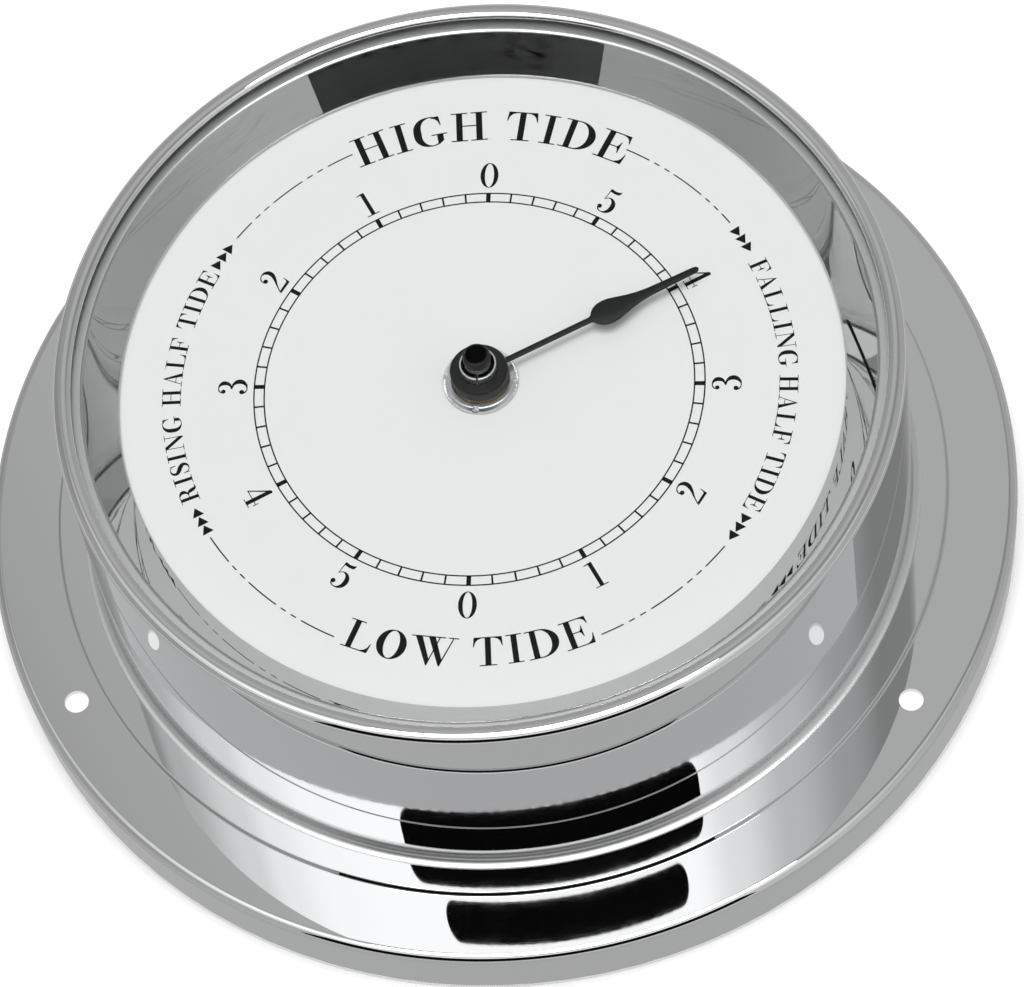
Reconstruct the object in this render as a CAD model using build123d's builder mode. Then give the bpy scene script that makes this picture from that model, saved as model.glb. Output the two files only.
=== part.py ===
from build123d import *
from math import asin, cos, degrees, radians, sin
import os

# Tide clock: a spun, chromed brass case with a screw flange, a domed glass over a white dial,
# and a battery movement whose single hand goes round once in 12 hours 25 minutes.
# Millimetres. The origin is the centre of the flange's bottom plane, +Z points out of the dial,
# +Y points to the high tide mark at the top of the dial.

# General sizes
overrun = 1.0
snug = 0.05
running = 0.08

# Case: one spun sheet with flange, drum and rolled rim
sheet = 0.8
drum_radius = 59.8
flange_width = 15.2
flange_height = 8.8
flange_rounding = 1.6
step_width = 5.2
step_height = 0.8
step_slope = 0.5
step_edge = 0.35
cove_radius = 1.5
case_height = 46.9
rim_rounding = 1.1
rim_turn_in = 1.8
screw_inset = 6.0
screw_hole_radius = 1.75
screw_count = 3
screw_start_angle = 90.0

# Glass, its gasket and the reflector ring under it
glass_thickness = 1.0
glass_rise = 2.8
glass_seat = 0.8
gasket_width = 0.5
gasket_height = 1.5
visor_sheet = 0.5
visor_rim_width = 2.5
visor_cone_run = 4.75
visor_depth = 5.3
visor_lip_height = 1.1
visor_bend = 0.3

# Dial and what holds it
dial_thickness = 0.8
dial_gap = 0.3
spring_ring_width = 1.9
spring_ring_height = 2.0
spring_ring_arc = 350.0
washer_radius = 9.0
washer_thickness = 0.8

# Movement case
movement_corner = 4.0
movement_wall = 1.4
partition_wall = 1.2
battery_end_room = 1.35
battery_side_room = 1.5
battery_back_room = 0.5
cover_thickness = 1.4

# Bush and ring nut
bush_radius = 4.0
nut_radius = 5.35
nut_height = 1.2
nut_chamfer = 0.45
nut_slot_width = 0.9
nut_slot_depth = 0.7
nut_slot_length = 1.5
nut_slot_count = 4
nut_slot_angle = -5.0

# Tide wheel, pipe and hand
pipe_radius = 2.6
pipe_wall = 0.95
pipe_above_dial = 5.2
pipe_slit = 0.25
pipe_slit_depth = 1.3
hand_rest_angle = 29.0
boss_radius = 4.1
boss_gap = 0.2
boss_height = 2.3
boss_edge = 0.3
blade_above_nut = 1.1
blade_thickness = 0.4
blade_shaft_width = 0.85
blade_pear_start = 17.8
blade_pear_middle = 20.2
blade_pear_width = 3.9
blade_neck = 26.5
blade_neck_width = 1.35
blade_length = 34.7
blade_tip_width = 0.95

# Centre arbor and its cap
arbor_radius = 1.55
arbor_above_dial = 6.4
cap_radius = 1.95
cap_height = 1.2
cap_edge = 0.45
cap_pin_radius = 0.9
cap_pin_height = 0.7
arbor_shank_radius = 0.9
arbor_collar_radius = 1.4
arbor_collar_height = 0.9

# Wheel work. Heights are measured down from the inside of the movement's front wall.
pivot_radius = 0.4
pivot_length = 0.7
arbor_body_radius = 0.8
end_play = 0.15
setting_module = 0.4
centre_module = 0.3
third_module = 0.25
fourth_module = 0.2
tide_wheel_down = 0.6
tide_wheel_thickness = 1.0
tide_collar_radius = 3.4
minute_wheel_down = 2.2
minute_wheel_thickness = 0.9
pinion_margin = 0.2
train_plate_down = 4.2
train_plate_thickness = 1.2
centre_wheel_down = 6.4
centre_wheel_thickness = 0.8
third_wheel_down = 8.5
third_wheel_thickness = 0.7
fourth_wheel_down = 10.2
fourth_wheel_thickness = 0.6
step_wheel_down = 8.6
step_wheel_thickness = 0.6
pinion_height = 1.4
rotor_pinion_height = 1.2
rotor_magnet_radius = 1.8
rotor_magnet_height = 1.4
rotor_magnet_down = 10.6
clutch_radius = 3.4
clutch_thickness = 0.15
clutch_dish = 0.45

# Teeth: shares of the circular pitch, and of the module
tooth_root_share = 0.50
tooth_middle_share = 0.36
tooth_tip_share = 0.16
addendum_share = 0.78
dedendum_share = 1.1

tide_teeth = 46
minute_pinion_teeth = 10
minute_teeth = 27
centre_pinion_teeth = 10
setting_teeth = 14
centre_teeth = 60
third_pinion_teeth = 8
third_teeth = 64
fourth_pinion_teeth = 8
fourth_teeth = 60
step_pinion_teeth = 12
step_teeth = 48
rotor_teeth = 8

minute_direction = 0.0
setting_direction = -25.0
third_direction = 60.0
fourth_direction = 170.0
step_direction = 150.0
rotor_direction = 120.0

# Setting knob at the back
setting_shaft_radius = 1.6
knob_radius = 4.6
knob_height = 3.4
knob_gap = 0.2
knob_flutes = 12
knob_flute_radius = 0.7
knob_grip = 1.6

# Stator, coil and circuit board
stator_thickness = 0.8
stator_width = 5.0
stator_overhang = 9.2
stator_length = 32.0
rotor_hole_radius = 2.2
coil_spacing = 5.05
coil_overhang = 2.7
coil_length = 18.0
coil_wall_gap = 0.5
core_width = 2.2
core_pad_length = 4.5
bobbin_tube_radius = 1.45
bobbin_flange = 4.8
bobbin_flange_thickness = 0.8
winding_radius = 2.2
core_pin_radius = 0.7
core_post_radius = 1.5
board_wall_gap = 0.6
board_width = 11.2
board_low = 3.0
board_high = 17.5
board_thickness = 1.0
board_down = 11.4
board_post_radius = 1.2
board_post_inset = 1.8
crystal_radius = 1.0
crystal_length = 6.0
chip_radius = 2.4
chip_height = 1.0

# Train plate, its pillars and screws
train_plate_left_gap = 2.6
train_plate_right = 12.0
train_plate_low_gap = 1.1
train_plate_high_gap = 1.2
train_plate_corner = 3.0
pillar_radius = 2.0
pillar_inset = 3.4
screw_head_radius = 1.4
screw_head_height = 0.8
screw_shank_radius = 0.6
screw_shank_length = 4.0

# Battery and its contacts
battery_radius = 7.1
battery_length = 49.5
battery_nub_radius = 2.7
battery_nub_height = 1.0
battery_edge = 0.6
battery_clear = 0.1
contact_thickness = 0.3
contact_width = 9.0
contact_height = 11.0
contact_bow = 1.0
contact_tab_width = 2.4

# Radii that follow from the drum's
flange_radius = drum_radius + flange_width
step_radius = drum_radius + step_width
rim_inner_radius = drum_radius - rim_turn_in
screw_circle_radius = flange_radius - screw_inset
drum_inner_radius = drum_radius - sheet
glass_radius = drum_inner_radius - gasket_width - snug
visor_radius = glass_radius - snug
visor_cone_top_radius = visor_radius - visor_rim_width
visor_lip_radius = visor_cone_top_radius - visor_cone_run

# Sizes that follow from the wheels and from the cell
tide_module = setting_module * (minute_teeth + centre_pinion_teeth) / (tide_teeth + minute_pinion_teeth)
battery_bay_length = battery_length + battery_nub_height + 2 * battery_end_room
movement_depth = movement_wall + battery_clear + 2 * battery_radius + battery_back_room
battery_bay_width = 2 * battery_radius + battery_side_room

# Levels
glass_underside = case_height - sheet - glass_thickness
dial_top = glass_underside - visor_depth
dial_back = dial_top - dial_thickness
movement_front = dial_back - washer_thickness
movement_back = movement_front - movement_depth
room_top = movement_front - movement_wall
room_bottom = movement_back + cover_thickness
nut_top = dial_top + nut_height
train_plate_top = room_top - train_plate_down
train_plate_bottom = train_plate_top - train_plate_thickness


def on_circle(distance, direction, start=(0.0, 0.0)):
    """The point at a distance and direction from a start point."""
    turn = radians(direction)
    return (start[0] + distance * cos(turn), start[1] + distance * sin(turn))


def pitch_radius(teeth, module):
    return teeth * module / 2


def mesh_distance(teeth_a, teeth_b, module):
    return pitch_radius(teeth_a, module) + pitch_radius(teeth_b, module)


def meshing_phase(teeth_a, phase_a, direction, teeth_b):
    """Where wheel b has a tooth, so that it meets a gap of wheel a in the given direction."""
    share_a = ((direction - phase_a) * teeth_a / 360) % 1
    share_b = 0.5 - share_a
    return direction + 180 - share_b * 360 / teeth_b


def tooth_points(teeth, module, phase, centre):
    """Outline of a toothed wheel: each tooth has a root, a shoulder at the pitch circle and a tip."""
    middle = pitch_radius(teeth, module)
    root = middle - dedendum_share * module
    tip = middle + addendum_share * module
    stations = (
        (root, -tooth_root_share / 2),
        (middle, -tooth_middle_share / 2),
        (tip, -tooth_tip_share / 2),
        (tip, tooth_tip_share / 2),
        (middle, tooth_middle_share / 2),
        (root, tooth_root_share / 2),
    )
    points = []
    for tooth in range(teeth):
        for radius, share in stations:
            turn = phase + (tooth + share) * 360 / teeth
            points.append(on_circle(radius, turn, centre))
    return points


def toothed_disc(teeth, module, phase, centre, bottom, thickness):
    """Adds a toothed disc to the part being built."""
    with BuildSketch(Plane.XY.offset(bottom)) as outline:
        with BuildLine():
            Polyline(*tooth_points(teeth, module, phase, centre), close=True)
        make_face()
    extrude(outline.sketch, amount=thickness)


def round_bar(radius, centre, bottom, top, mode=Mode.ADD):
    """Adds or cuts an upright round bar in the part being built."""
    with BuildSketch(Plane.XY.offset(bottom)) as outline:
        with Locations(centre):
            Circle(radius)
    extrude(outline.sketch, amount=top - bottom, mode=mode)


def block(low, high, bottom, top, mode=Mode.ADD):
    """Adds or cuts an upright block between two corners in the part being built."""
    middle = ((low[0] + high[0]) / 2, (low[1] + high[1]) / 2)
    with BuildSketch(Plane.XY.offset(bottom)) as outline:
        with Locations(middle):
            Rectangle(high[0] - low[0], high[1] - low[1])
    extrude(outline.sketch, amount=top - bottom, mode=mode)


def finish(part, name):
    """Labels a finished piece and writes it out."""
    part.label = name
    export_step(part, f"parts/{name}.step")


os.makedirs("parts", exist_ok=True)

# Case body: the section runs up the outside of the sheet and back down its inside
step_top = flange_height + step_height
outside_points = (
    (flange_radius, 0),
    (flange_radius, flange_height),
    (step_radius, flange_height),
    (step_radius - step_slope, step_top),
    (drum_radius, step_top),
    (drum_radius, case_height),
    (rim_inner_radius, case_height),
)
outside_radii = (flange_rounding, step_edge, step_edge, cove_radius, rim_rounding)
inside_points = (
    (rim_inner_radius, case_height - sheet),
    (drum_inner_radius, case_height - sheet),
    (drum_inner_radius, step_top - sheet),
    (step_radius - sheet, step_top - sheet),
    (step_radius - sheet, flange_height - sheet),
    (flange_radius - sheet, flange_height - sheet),
    (flange_radius - sheet, 0),
)
inside_radii = (
    rim_rounding - sheet,
    cove_radius + sheet,
    step_edge,
    step_edge,
    flange_rounding - sheet,
)
with BuildPart() as case_body:
    with BuildSketch(Plane.XZ):
        with BuildLine():
            outside = FilletPolyline(*outside_points, radius=outside_radii)
            inside = FilletPolyline(*inside_points, radius=inside_radii)
            Line(outside @ 1, inside @ 0)
            Line(inside @ 1, outside @ 0)
        make_face()
    revolve(axis=Axis.Z)
    with PolarLocations(screw_circle_radius, screw_count, start_angle=screw_start_angle):
        Hole(screw_hole_radius)
finish(case_body.part, "case_body")

# Glass: a shallow dome with a flat seat all round
dome_base = glass_radius - glass_seat
dome_radius = (dome_base**2 + glass_rise**2) / (2 * glass_rise)
dome_angle = degrees(asin(dome_base / dome_radius))
dome_centre = glass_underside + glass_rise - dome_radius
with BuildPart() as glass_lens:
    with BuildSketch(Plane.XZ):
        with BuildLine():
            under = CenterArc((0, dome_centre), dome_radius, 90, -dome_angle)
            over = CenterArc((0, dome_centre + glass_thickness), dome_radius, 90, -dome_angle)
            Line(under @ 0, over @ 0)
            Polyline(
                over @ 1,
                (glass_radius, glass_underside + glass_thickness),
                (glass_radius, glass_underside),
                under @ 1,
            )
        make_face()
    revolve(axis=Axis.Z)
finish(glass_lens.part, "glass_lens")

# Gasket round the edge of the glass
gasket_outer_radius = drum_inner_radius - snug
with BuildPart() as glass_gasket:
    with BuildSketch(Plane.XY.offset(case_height - sheet - gasket_height)):
        Circle(gasket_outer_radius)
        Circle(glass_radius, mode=Mode.SUBTRACT)
    extrude(amount=gasket_height)
    outer_corner = glass_gasket.edges().group_by(Axis.Z)[-1].sort_by(SortBy.RADIUS)[-1]
    fillet(outer_corner, rim_rounding - sheet)
finish(glass_gasket.part, "glass_gasket")

# Visor ring: a reflector with a flat rim under the glass, a cone and a short upright lip
visor_lip_top = dial_top + visor_lip_height
visor_points = (
    (visor_lip_radius, dial_top),
    (visor_lip_radius, visor_lip_top),
    (visor_cone_top_radius, glass_underside),
    (visor_radius, glass_underside),
)
visor_under_points = (
    (visor_radius, glass_underside - visor_sheet),
    (visor_cone_top_radius + visor_sheet / 2, glass_underside - visor_sheet),
    (visor_lip_radius + visor_sheet, visor_lip_top - visor_sheet / 2),
    (visor_lip_radius + visor_sheet, dial_top),
)
with BuildPart() as visor_ring:
    with BuildSketch(Plane.XZ):
        with BuildLine():
            shown = FilletPolyline(*visor_points, radius=visor_bend)
            hidden = FilletPolyline(*visor_under_points, radius=visor_bend)
            Line(shown @ 1, hidden @ 0)
            Line(hidden @ 1, shown @ 0)
        make_face()
    revolve(axis=Axis.Z)
finish(visor_ring.part, "visor_ring")

# Dial plate, with the hole for the bush
with BuildPart() as dial_plate:
    with BuildSketch(Plane.XY.offset(dial_back)):
        Circle(drum_inner_radius - dial_gap)
        Circle(bush_radius + snug, mode=Mode.SUBTRACT)
    extrude(amount=dial_thickness)
finish(dial_plate.part, "dial_plate")

# Spring ring behind the dial, split at the bottom
spring_ring_outer = drum_inner_radius - snug
spring_ring_start = 90 - spring_ring_arc / 2
with BuildPart() as spring_ring:
    with BuildSketch(Plane.XZ):
        with Locations((spring_ring_outer - spring_ring_width / 2, dial_back - spring_ring_height / 2)):
            Rectangle(spring_ring_width, spring_ring_height)
    revolve(axis=Axis.Z, revolution_arc=spring_ring_arc)
finish(spring_ring.part.rotate(Axis.Z, spring_ring_start), "spring_ring")

# Rubber washer between dial and movement
with BuildPart() as dial_washer:
    with BuildSketch(Plane.XY.offset(movement_front)):
        Circle(washer_radius)
        Circle(bush_radius + snug, mode=Mode.SUBTRACT)
    extrude(amount=washer_thickness)
finish(dial_washer.part, "dial_washer")

# Bush: a brass tube seated in the movement's front wall
bush_bore = pipe_radius + running
with BuildPart() as threaded_bush:
    with BuildSketch(Plane.XY.offset(room_top)):
        Circle(bush_radius)
        Circle(bush_bore, mode=Mode.SUBTRACT)
    extrude(amount=nut_top - room_top)
finish(threaded_bush.part, "threaded_bush")

# Ring nut: chamfered edge and slots for a pin spanner
with BuildPart() as ring_nut:
    with BuildSketch(Plane.XY.offset(dial_top)):
        Circle(nut_radius)
        Circle(bush_radius, mode=Mode.SUBTRACT)
    extrude(amount=nut_height)
    rim = ring_nut.edges().group_by(Axis.Z)[-1].sort_by(SortBy.RADIUS)[-1]
    chamfer(rim, nut_chamfer)
    with BuildSketch(Plane.XY.offset(nut_top - nut_slot_depth)):
        with PolarLocations(nut_radius, nut_slot_count, start_angle=nut_slot_angle):
            Rectangle(nut_slot_length, nut_slot_width)
    extrude(amount=nut_slot_depth + overrun, mode=Mode.SUBTRACT)
finish(ring_nut.part, "ring_nut")

# Places of the wheels
minute_distance = mesh_distance(minute_teeth, centre_pinion_teeth, setting_module)
minute_centre = on_circle(minute_distance, minute_direction)
setting_distance = mesh_distance(minute_teeth, setting_teeth, setting_module)
setting_centre = on_circle(setting_distance, setting_direction, minute_centre)
third_distance = mesh_distance(centre_teeth, third_pinion_teeth, centre_module)
third_centre = on_circle(third_distance, third_direction)
fourth_distance = mesh_distance(third_teeth, fourth_pinion_teeth, third_module)
fourth_centre = on_circle(fourth_distance, fourth_direction, third_centre)
step_distance = mesh_distance(fourth_teeth, step_pinion_teeth, fourth_module)
step_centre = on_circle(step_distance, step_direction, fourth_centre)
rotor_distance = mesh_distance(step_teeth, rotor_teeth, fourth_module)
rotor_centre = on_circle(rotor_distance, rotor_direction, step_centre)
train_centres = (third_centre, fourth_centre, step_centre, rotor_centre)

# The stator and the coil lie by the rotor
stator_low_x = rotor_centre[0] - stator_overhang
stator_high_x = stator_low_x + stator_length
coil_low_x = rotor_centre[0] - coil_overhang
coil_y = rotor_centre[1] + coil_spacing

# The movement is as wide as the cell and its contacts ask for, and as high as the coil asks for
room_half_width = battery_bay_length / 2
room_half_height = coil_y + bobbin_flange / 2 + coil_wall_gap
movement_width = 2 * (room_half_width + movement_wall)
movement_height = 2 * (room_half_height + movement_wall)
bay_low = -room_half_height
bay_high = bay_low + battery_bay_width
room_low = bay_high + partition_wall
cover_low = bay_high + partition_wall / 2
board_right = room_half_width - board_wall_gap
board_left = board_right - board_width
train_plate_left = train_plate_left_gap - room_half_width
train_plate_low = room_low + train_plate_low_gap
train_plate_high = room_half_height - train_plate_high_gap

# Heights of the wheels
tide_wheel_top = room_top - tide_wheel_down
tide_wheel_bottom = tide_wheel_top - tide_wheel_thickness
minute_wheel_top = room_top - minute_wheel_down
minute_wheel_bottom = minute_wheel_top - minute_wheel_thickness
centre_wheel_top = room_top - centre_wheel_down
centre_wheel_bottom = centre_wheel_top - centre_wheel_thickness
third_wheel_top = room_top - third_wheel_down
third_wheel_bottom = third_wheel_top - third_wheel_thickness
fourth_wheel_top = room_top - fourth_wheel_down
fourth_wheel_bottom = fourth_wheel_top - fourth_wheel_thickness
step_wheel_top = room_top - step_wheel_down
step_wheel_bottom = step_wheel_top - step_wheel_thickness
stator_top = room_top - rotor_magnet_down - (rotor_magnet_height - stator_thickness) / 2
stator_bottom = stator_top - stator_thickness
core_top = stator_top + stator_thickness
board_top = room_top - board_down
board_bottom = board_top - board_thickness
upper_bearing_top = train_plate_bottom + pivot_length
lower_bearing_bottom = room_bottom - pivot_length
front_bearing_top = room_top + pivot_length

board_post_places = (
    (board_left + board_post_inset, board_low + board_post_inset),
    (board_right - board_post_inset, board_high - board_post_inset),
)
pillar_places = (
    (train_plate_left + pillar_inset, train_plate_low + pillar_inset),
    (train_plate_left + pillar_inset, train_plate_high - pillar_inset),
    (train_plate_right - pillar_inset, train_plate_high - pillar_inset),
)
battery_middle_y = (bay_low + bay_high) / 2
battery_middle_z = room_top - battery_clear - battery_radius
contact_notch_top = board_bottom + contact_tab_width

# Movement case: front wall, side walls, battery bay, pillars and posts
with BuildPart() as movement_case:
    with BuildSketch(Plane.XY.offset(movement_back)):
        RectangleRounded(movement_width, movement_height, movement_corner)
    extrude(amount=movement_depth)
    for low_y, high_y in ((room_low, room_half_height), (bay_low, bay_high)):
        block(
            (-room_half_width, low_y),
            (room_half_width, high_y),
            movement_back - overrun,
            room_top,
            Mode.SUBTRACT,
        )
    block(
        (-movement_width / 2 - overrun, cover_low),
        (movement_width / 2 + overrun, movement_height / 2 + overrun),
        movement_back - overrun,
        room_bottom,
        Mode.SUBTRACT,
    )
    round_bar(bush_radius, (0, 0), room_top - overrun, movement_front + overrun, Mode.SUBTRACT)
    for place in pillar_places:
        round_bar(pillar_radius, place, train_plate_top, room_top)
        round_bar(
            screw_shank_radius,
            place,
            train_plate_top - overrun,
            train_plate_bottom + screw_shank_length,
            Mode.SUBTRACT,
        )
    for place in board_post_places:
        round_bar(board_post_radius, place, board_top, room_top)
    for place in (minute_centre, setting_centre):
        round_bar(pivot_radius + running, place, room_top - overrun, front_bearing_top, Mode.SUBTRACT)
    for low_x, high_x in (
        (-room_half_width, -room_half_width + contact_tab_width),
        (room_half_width - contact_tab_width, room_half_width),
    ):
        block(
            (low_x - snug, bay_high - overrun),
            (high_x, room_low + overrun),
            movement_back - overrun,
            contact_notch_top,
            Mode.SUBTRACT,
        )
finish(movement_case.part, "movement_case")

# Back cover: closes the wheel room and carries the lower pivots
with BuildPart() as back_cover:
    with BuildSketch(Plane.XY.offset(movement_back)) as cover_outline:
        RectangleRounded(movement_width, movement_height, movement_corner)
        with Locations((0, cover_low + snug - movement_height / 2)):
            Rectangle(movement_width + overrun, movement_height, mode=Mode.SUBTRACT)
    extrude(amount=cover_thickness)
    for place in train_centres + ((0, 0),):
        bearing = arbor_shank_radius if place == (0, 0) else pivot_radius
        round_bar(bearing + running, place, lower_bearing_bottom, room_bottom + overrun, Mode.SUBTRACT)
    with Locations((*setting_centre, movement_back)):
        Hole(setting_shaft_radius + running)
finish(back_cover.part, "back_cover")

# Train plate: carries the upper pivots, the stator and the coil core
core_pin_places = (
    (stator_low_x + core_pad_length / 2, rotor_centre[1]),
    (stator_high_x - core_pad_length / 2, rotor_centre[1]),
)
with BuildPart() as train_plate:
    with BuildSketch(Plane.XY.offset(train_plate_bottom)):
        plate_middle = (
            (train_plate_left + train_plate_right) / 2,
            (train_plate_low + train_plate_high) / 2,
        )
        with Locations(plate_middle):
            RectangleRounded(
                train_plate_right - train_plate_left,
                train_plate_high - train_plate_low,
                train_plate_corner,
            )
        with Locations((0, 0)):
            Circle(arbor_shank_radius + running, mode=Mode.SUBTRACT)
        with Locations(*train_centres, minute_centre):
            Circle(pivot_radius + running, mode=Mode.SUBTRACT)
        with Locations(*pillar_places):
            Circle(screw_shank_radius, mode=Mode.SUBTRACT)
    extrude(amount=train_plate_thickness)
    for place in core_pin_places:
        round_bar(core_post_radius, place, core_top, train_plate_bottom)
        round_bar(core_pin_radius, place, stator_bottom - snug, core_top)
finish(train_plate.part, "train_plate")

# Screws of the train plate
with BuildPart() as plate_screws:
    for place in pillar_places:
        round_bar(screw_head_radius, place, train_plate_bottom - screw_head_height, train_plate_bottom)
        round_bar(
            screw_shank_radius,
            place,
            train_plate_bottom,
            train_plate_bottom + screw_shank_length - snug,
        )
finish(plate_screws.part, "plate_screws")

# Tide wheel: the wheel, its collar and the pipe that carries the hand
pipe_bore = pipe_radius - pipe_wall
pipe_top = dial_top + pipe_above_dial
tide_phase = 0.0
with BuildPart() as tide_wheel:
    toothed_disc(tide_teeth, tide_module, tide_phase, (0, 0), tide_wheel_bottom, tide_wheel_thickness)
    round_bar(tide_collar_radius, (0, 0), tide_wheel_top, room_top - end_play)
    round_bar(pipe_radius, (0, 0), tide_wheel_top, pipe_top)
    round_bar(pipe_bore, (0, 0), tide_wheel_bottom - overrun, pipe_top + overrun, Mode.SUBTRACT)
    block(
        (-pipe_slit / 2, -pipe_radius - overrun),
        (pipe_slit / 2, 0),
        pipe_top - pipe_slit_depth,
        pipe_top + overrun,
        Mode.SUBTRACT,
    )
finish(tide_wheel.part, "tide_wheel")

# Tide hand: a round boss and a pear-shaped blade, drawn along +X and turned to its rest angle
boss_bottom = nut_top + boss_gap
boss_top = boss_bottom + boss_height
blade_bottom = nut_top + blade_above_nut
blade_side = (
    (boss_radius / 2, blade_shaft_width / 2),
    (blade_pear_start, blade_shaft_width / 2),
)
with BuildPart() as tide_hand:
    round_bar(boss_radius, (0, 0), boss_bottom, boss_top)
    fillet(tide_hand.edges().group_by(Axis.Z)[-1], boss_edge)
    with BuildSketch(Plane.XY.offset(blade_bottom).rotated((0, 0, hand_rest_angle))):
        with BuildLine():
            shaft_side = Line(*blade_side)
            pear_side = Spline(
                shaft_side @ 1,
                (blade_pear_middle, blade_pear_width / 2),
                (blade_neck, blade_neck_width / 2),
                tangents=((0, 1), (1, -blade_neck_width / blade_neck)),
                tangent_scalars=(1.2, 1),
            )
            tip_side = Line(pear_side @ 1, (blade_length - blade_tip_width / 2, blade_tip_width / 2))
            RadiusArc(tip_side @ 1, (blade_length - blade_tip_width / 2, 0 - blade_tip_width / 2), blade_tip_width / 2)
            mirror(shaft_side, about=Plane.XZ)
            mirror(pear_side, about=Plane.XZ)
            mirror(tip_side, about=Plane.XZ)
            Line((boss_radius / 2, blade_shaft_width / 2), (boss_radius / 2, -blade_shaft_width / 2))
        make_face()
    extrude(amount=blade_thickness)
    round_bar(pipe_radius, (0, 0), boss_bottom - overrun, boss_top + overrun, Mode.SUBTRACT)
finish(tide_hand.part, "tide_hand")

# Minute wheel: its pinion drives the tide wheel
minute_pinion_phase = meshing_phase(tide_teeth, tide_phase, minute_direction, minute_pinion_teeth)
minute_phase = 0.0
with BuildPart() as minute_wheel:
    toothed_disc(
        minute_teeth, setting_module, minute_phase, minute_centre, minute_wheel_bottom, minute_wheel_thickness
    )
    toothed_disc(
        minute_pinion_teeth,
        tide_module,
        minute_pinion_phase,
        minute_centre,
        minute_wheel_top,
        room_top - end_play - minute_wheel_top,
    )
    round_bar(pivot_radius, minute_centre, room_top - end_play, front_bearing_top - end_play)
    round_bar(arbor_body_radius, minute_centre, train_plate_top + end_play, minute_wheel_bottom)
    round_bar(pivot_radius, minute_centre, train_plate_top - pivot_length, train_plate_top + end_play)
finish(minute_wheel.part, "minute_wheel")

# Centre arbor: pinion, shank through the centre wheel, and the bright shaft inside the pipe
centre_pinion_phase = meshing_phase(minute_teeth, minute_phase, minute_direction + 180, centre_pinion_teeth)
arbor_top = dial_top + arbor_above_dial
collar_top = centre_wheel_bottom
with BuildPart() as centre_arbor:
    toothed_disc(
        centre_pinion_teeth,
        setting_module,
        centre_pinion_phase,
        (0, 0),
        minute_wheel_bottom - pinion_margin,
        tide_wheel_bottom - pinion_margin - (minute_wheel_bottom - pinion_margin),
    )
    round_bar(arbor_radius, (0, 0), tide_wheel_bottom - pinion_margin, arbor_top)
    round_bar(cap_pin_radius, (0, 0), arbor_top, arbor_top + cap_pin_height)
    round_bar(arbor_shank_radius, (0, 0), lower_bearing_bottom + end_play, minute_wheel_bottom - pinion_margin)
    round_bar(arbor_collar_radius, (0, 0), collar_top - arbor_collar_height, collar_top - snug)
finish(centre_arbor.part, "centre_arbor")

# Cap on the end of the centre arbor
with BuildPart() as shaft_cap:
    round_bar(cap_radius, (0, 0), arbor_top, arbor_top + cap_height)
    fillet(shaft_cap.edges().group_by(Axis.Z)[-1], cap_edge)
    round_bar(cap_pin_radius, (0, 0), arbor_top - overrun, arbor_top + cap_pin_height, Mode.SUBTRACT)
finish(shaft_cap.part, "shaft_cap")

# Clutch spring: a dished disc on the arbor that presses on the centre wheel
clutch_low = centre_wheel_top + snug
with BuildPart() as clutch_spring:
    with BuildSketch(Plane.XZ):
        with BuildLine():
            Polyline(
                (arbor_shank_radius, clutch_low + clutch_dish),
                (clutch_radius, clutch_low),
                (clutch_radius, clutch_low + clutch_thickness),
                (arbor_shank_radius, clutch_low + clutch_dish + clutch_thickness),
                close=True,
            )
        make_face()
    revolve(axis=Axis.Z)
    with BuildSketch(Plane.XY.offset(centre_wheel_top)):
        with PolarLocations((clutch_radius + arbor_collar_radius) / 2, screw_count):
            Rectangle(clutch_radius - arbor_collar_radius, arbor_radius)
    extrude(amount=clutch_dish + clutch_thickness + overrun, mode=Mode.SUBTRACT)
finish(clutch_spring.part, "clutch_spring")

# Centre wheel: turns on the arbor, driven by the third wheel
centre_phase = 0.0
with BuildPart() as centre_wheel:
    toothed_disc(centre_teeth, centre_module, centre_phase, (0, 0), centre_wheel_bottom, centre_wheel_thickness)
    round_bar(
        arbor_shank_radius + running,
        (0, 0),
        centre_wheel_bottom - overrun,
        centre_wheel_top + overrun,
        Mode.SUBTRACT,
    )
finish(centre_wheel.part, "centre_wheel")


def train_wheel(name, centre, wheel, pinion):
    """A wheel and its pinion on one arbor, with a pivot at each end."""
    wheel_teeth, wheel_module, wheel_phase, wheel_bottom, wheel_thickness = wheel
    pinion_teeth, pinion_module, pinion_phase, pinion_bottom = pinion
    with BuildPart() as train:
        round_bar(arbor_body_radius, centre, room_bottom + end_play, train_plate_bottom - end_play)
        round_bar(pivot_radius, centre, train_plate_bottom - end_play, upper_bearing_top)
        round_bar(pivot_radius, centre, lower_bearing_bottom + end_play, room_bottom + end_play)
        toothed_disc(wheel_teeth, wheel_module, wheel_phase, centre, wheel_bottom, wheel_thickness)
        toothed_disc(pinion_teeth, pinion_module, pinion_phase, centre, pinion_bottom, pinion_height)
    finish(train.part, name)


third_pinion_phase = meshing_phase(centre_teeth, centre_phase, third_direction, third_pinion_teeth)
third_phase = 0.0
train_wheel(
    "third_wheel",
    third_centre,
    (third_teeth, third_module, third_phase, third_wheel_bottom, third_wheel_thickness),
    (
        third_pinion_teeth,
        centre_module,
        third_pinion_phase,
        centre_wheel_bottom - (pinion_height - centre_wheel_thickness) / 2,
    ),
)
fourth_pinion_phase = meshing_phase(third_teeth, third_phase, fourth_direction, fourth_pinion_teeth)
fourth_phase = 0.0
train_wheel(
    "fourth_wheel",
    fourth_centre,
    (fourth_teeth, fourth_module, fourth_phase, fourth_wheel_bottom, fourth_wheel_thickness),
    (
        fourth_pinion_teeth,
        third_module,
        fourth_pinion_phase,
        third_wheel_bottom - (pinion_height - third_wheel_thickness) / 2,
    ),
)
step_pinion_phase = meshing_phase(fourth_teeth, fourth_phase, step_direction, step_pinion_teeth)
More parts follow.
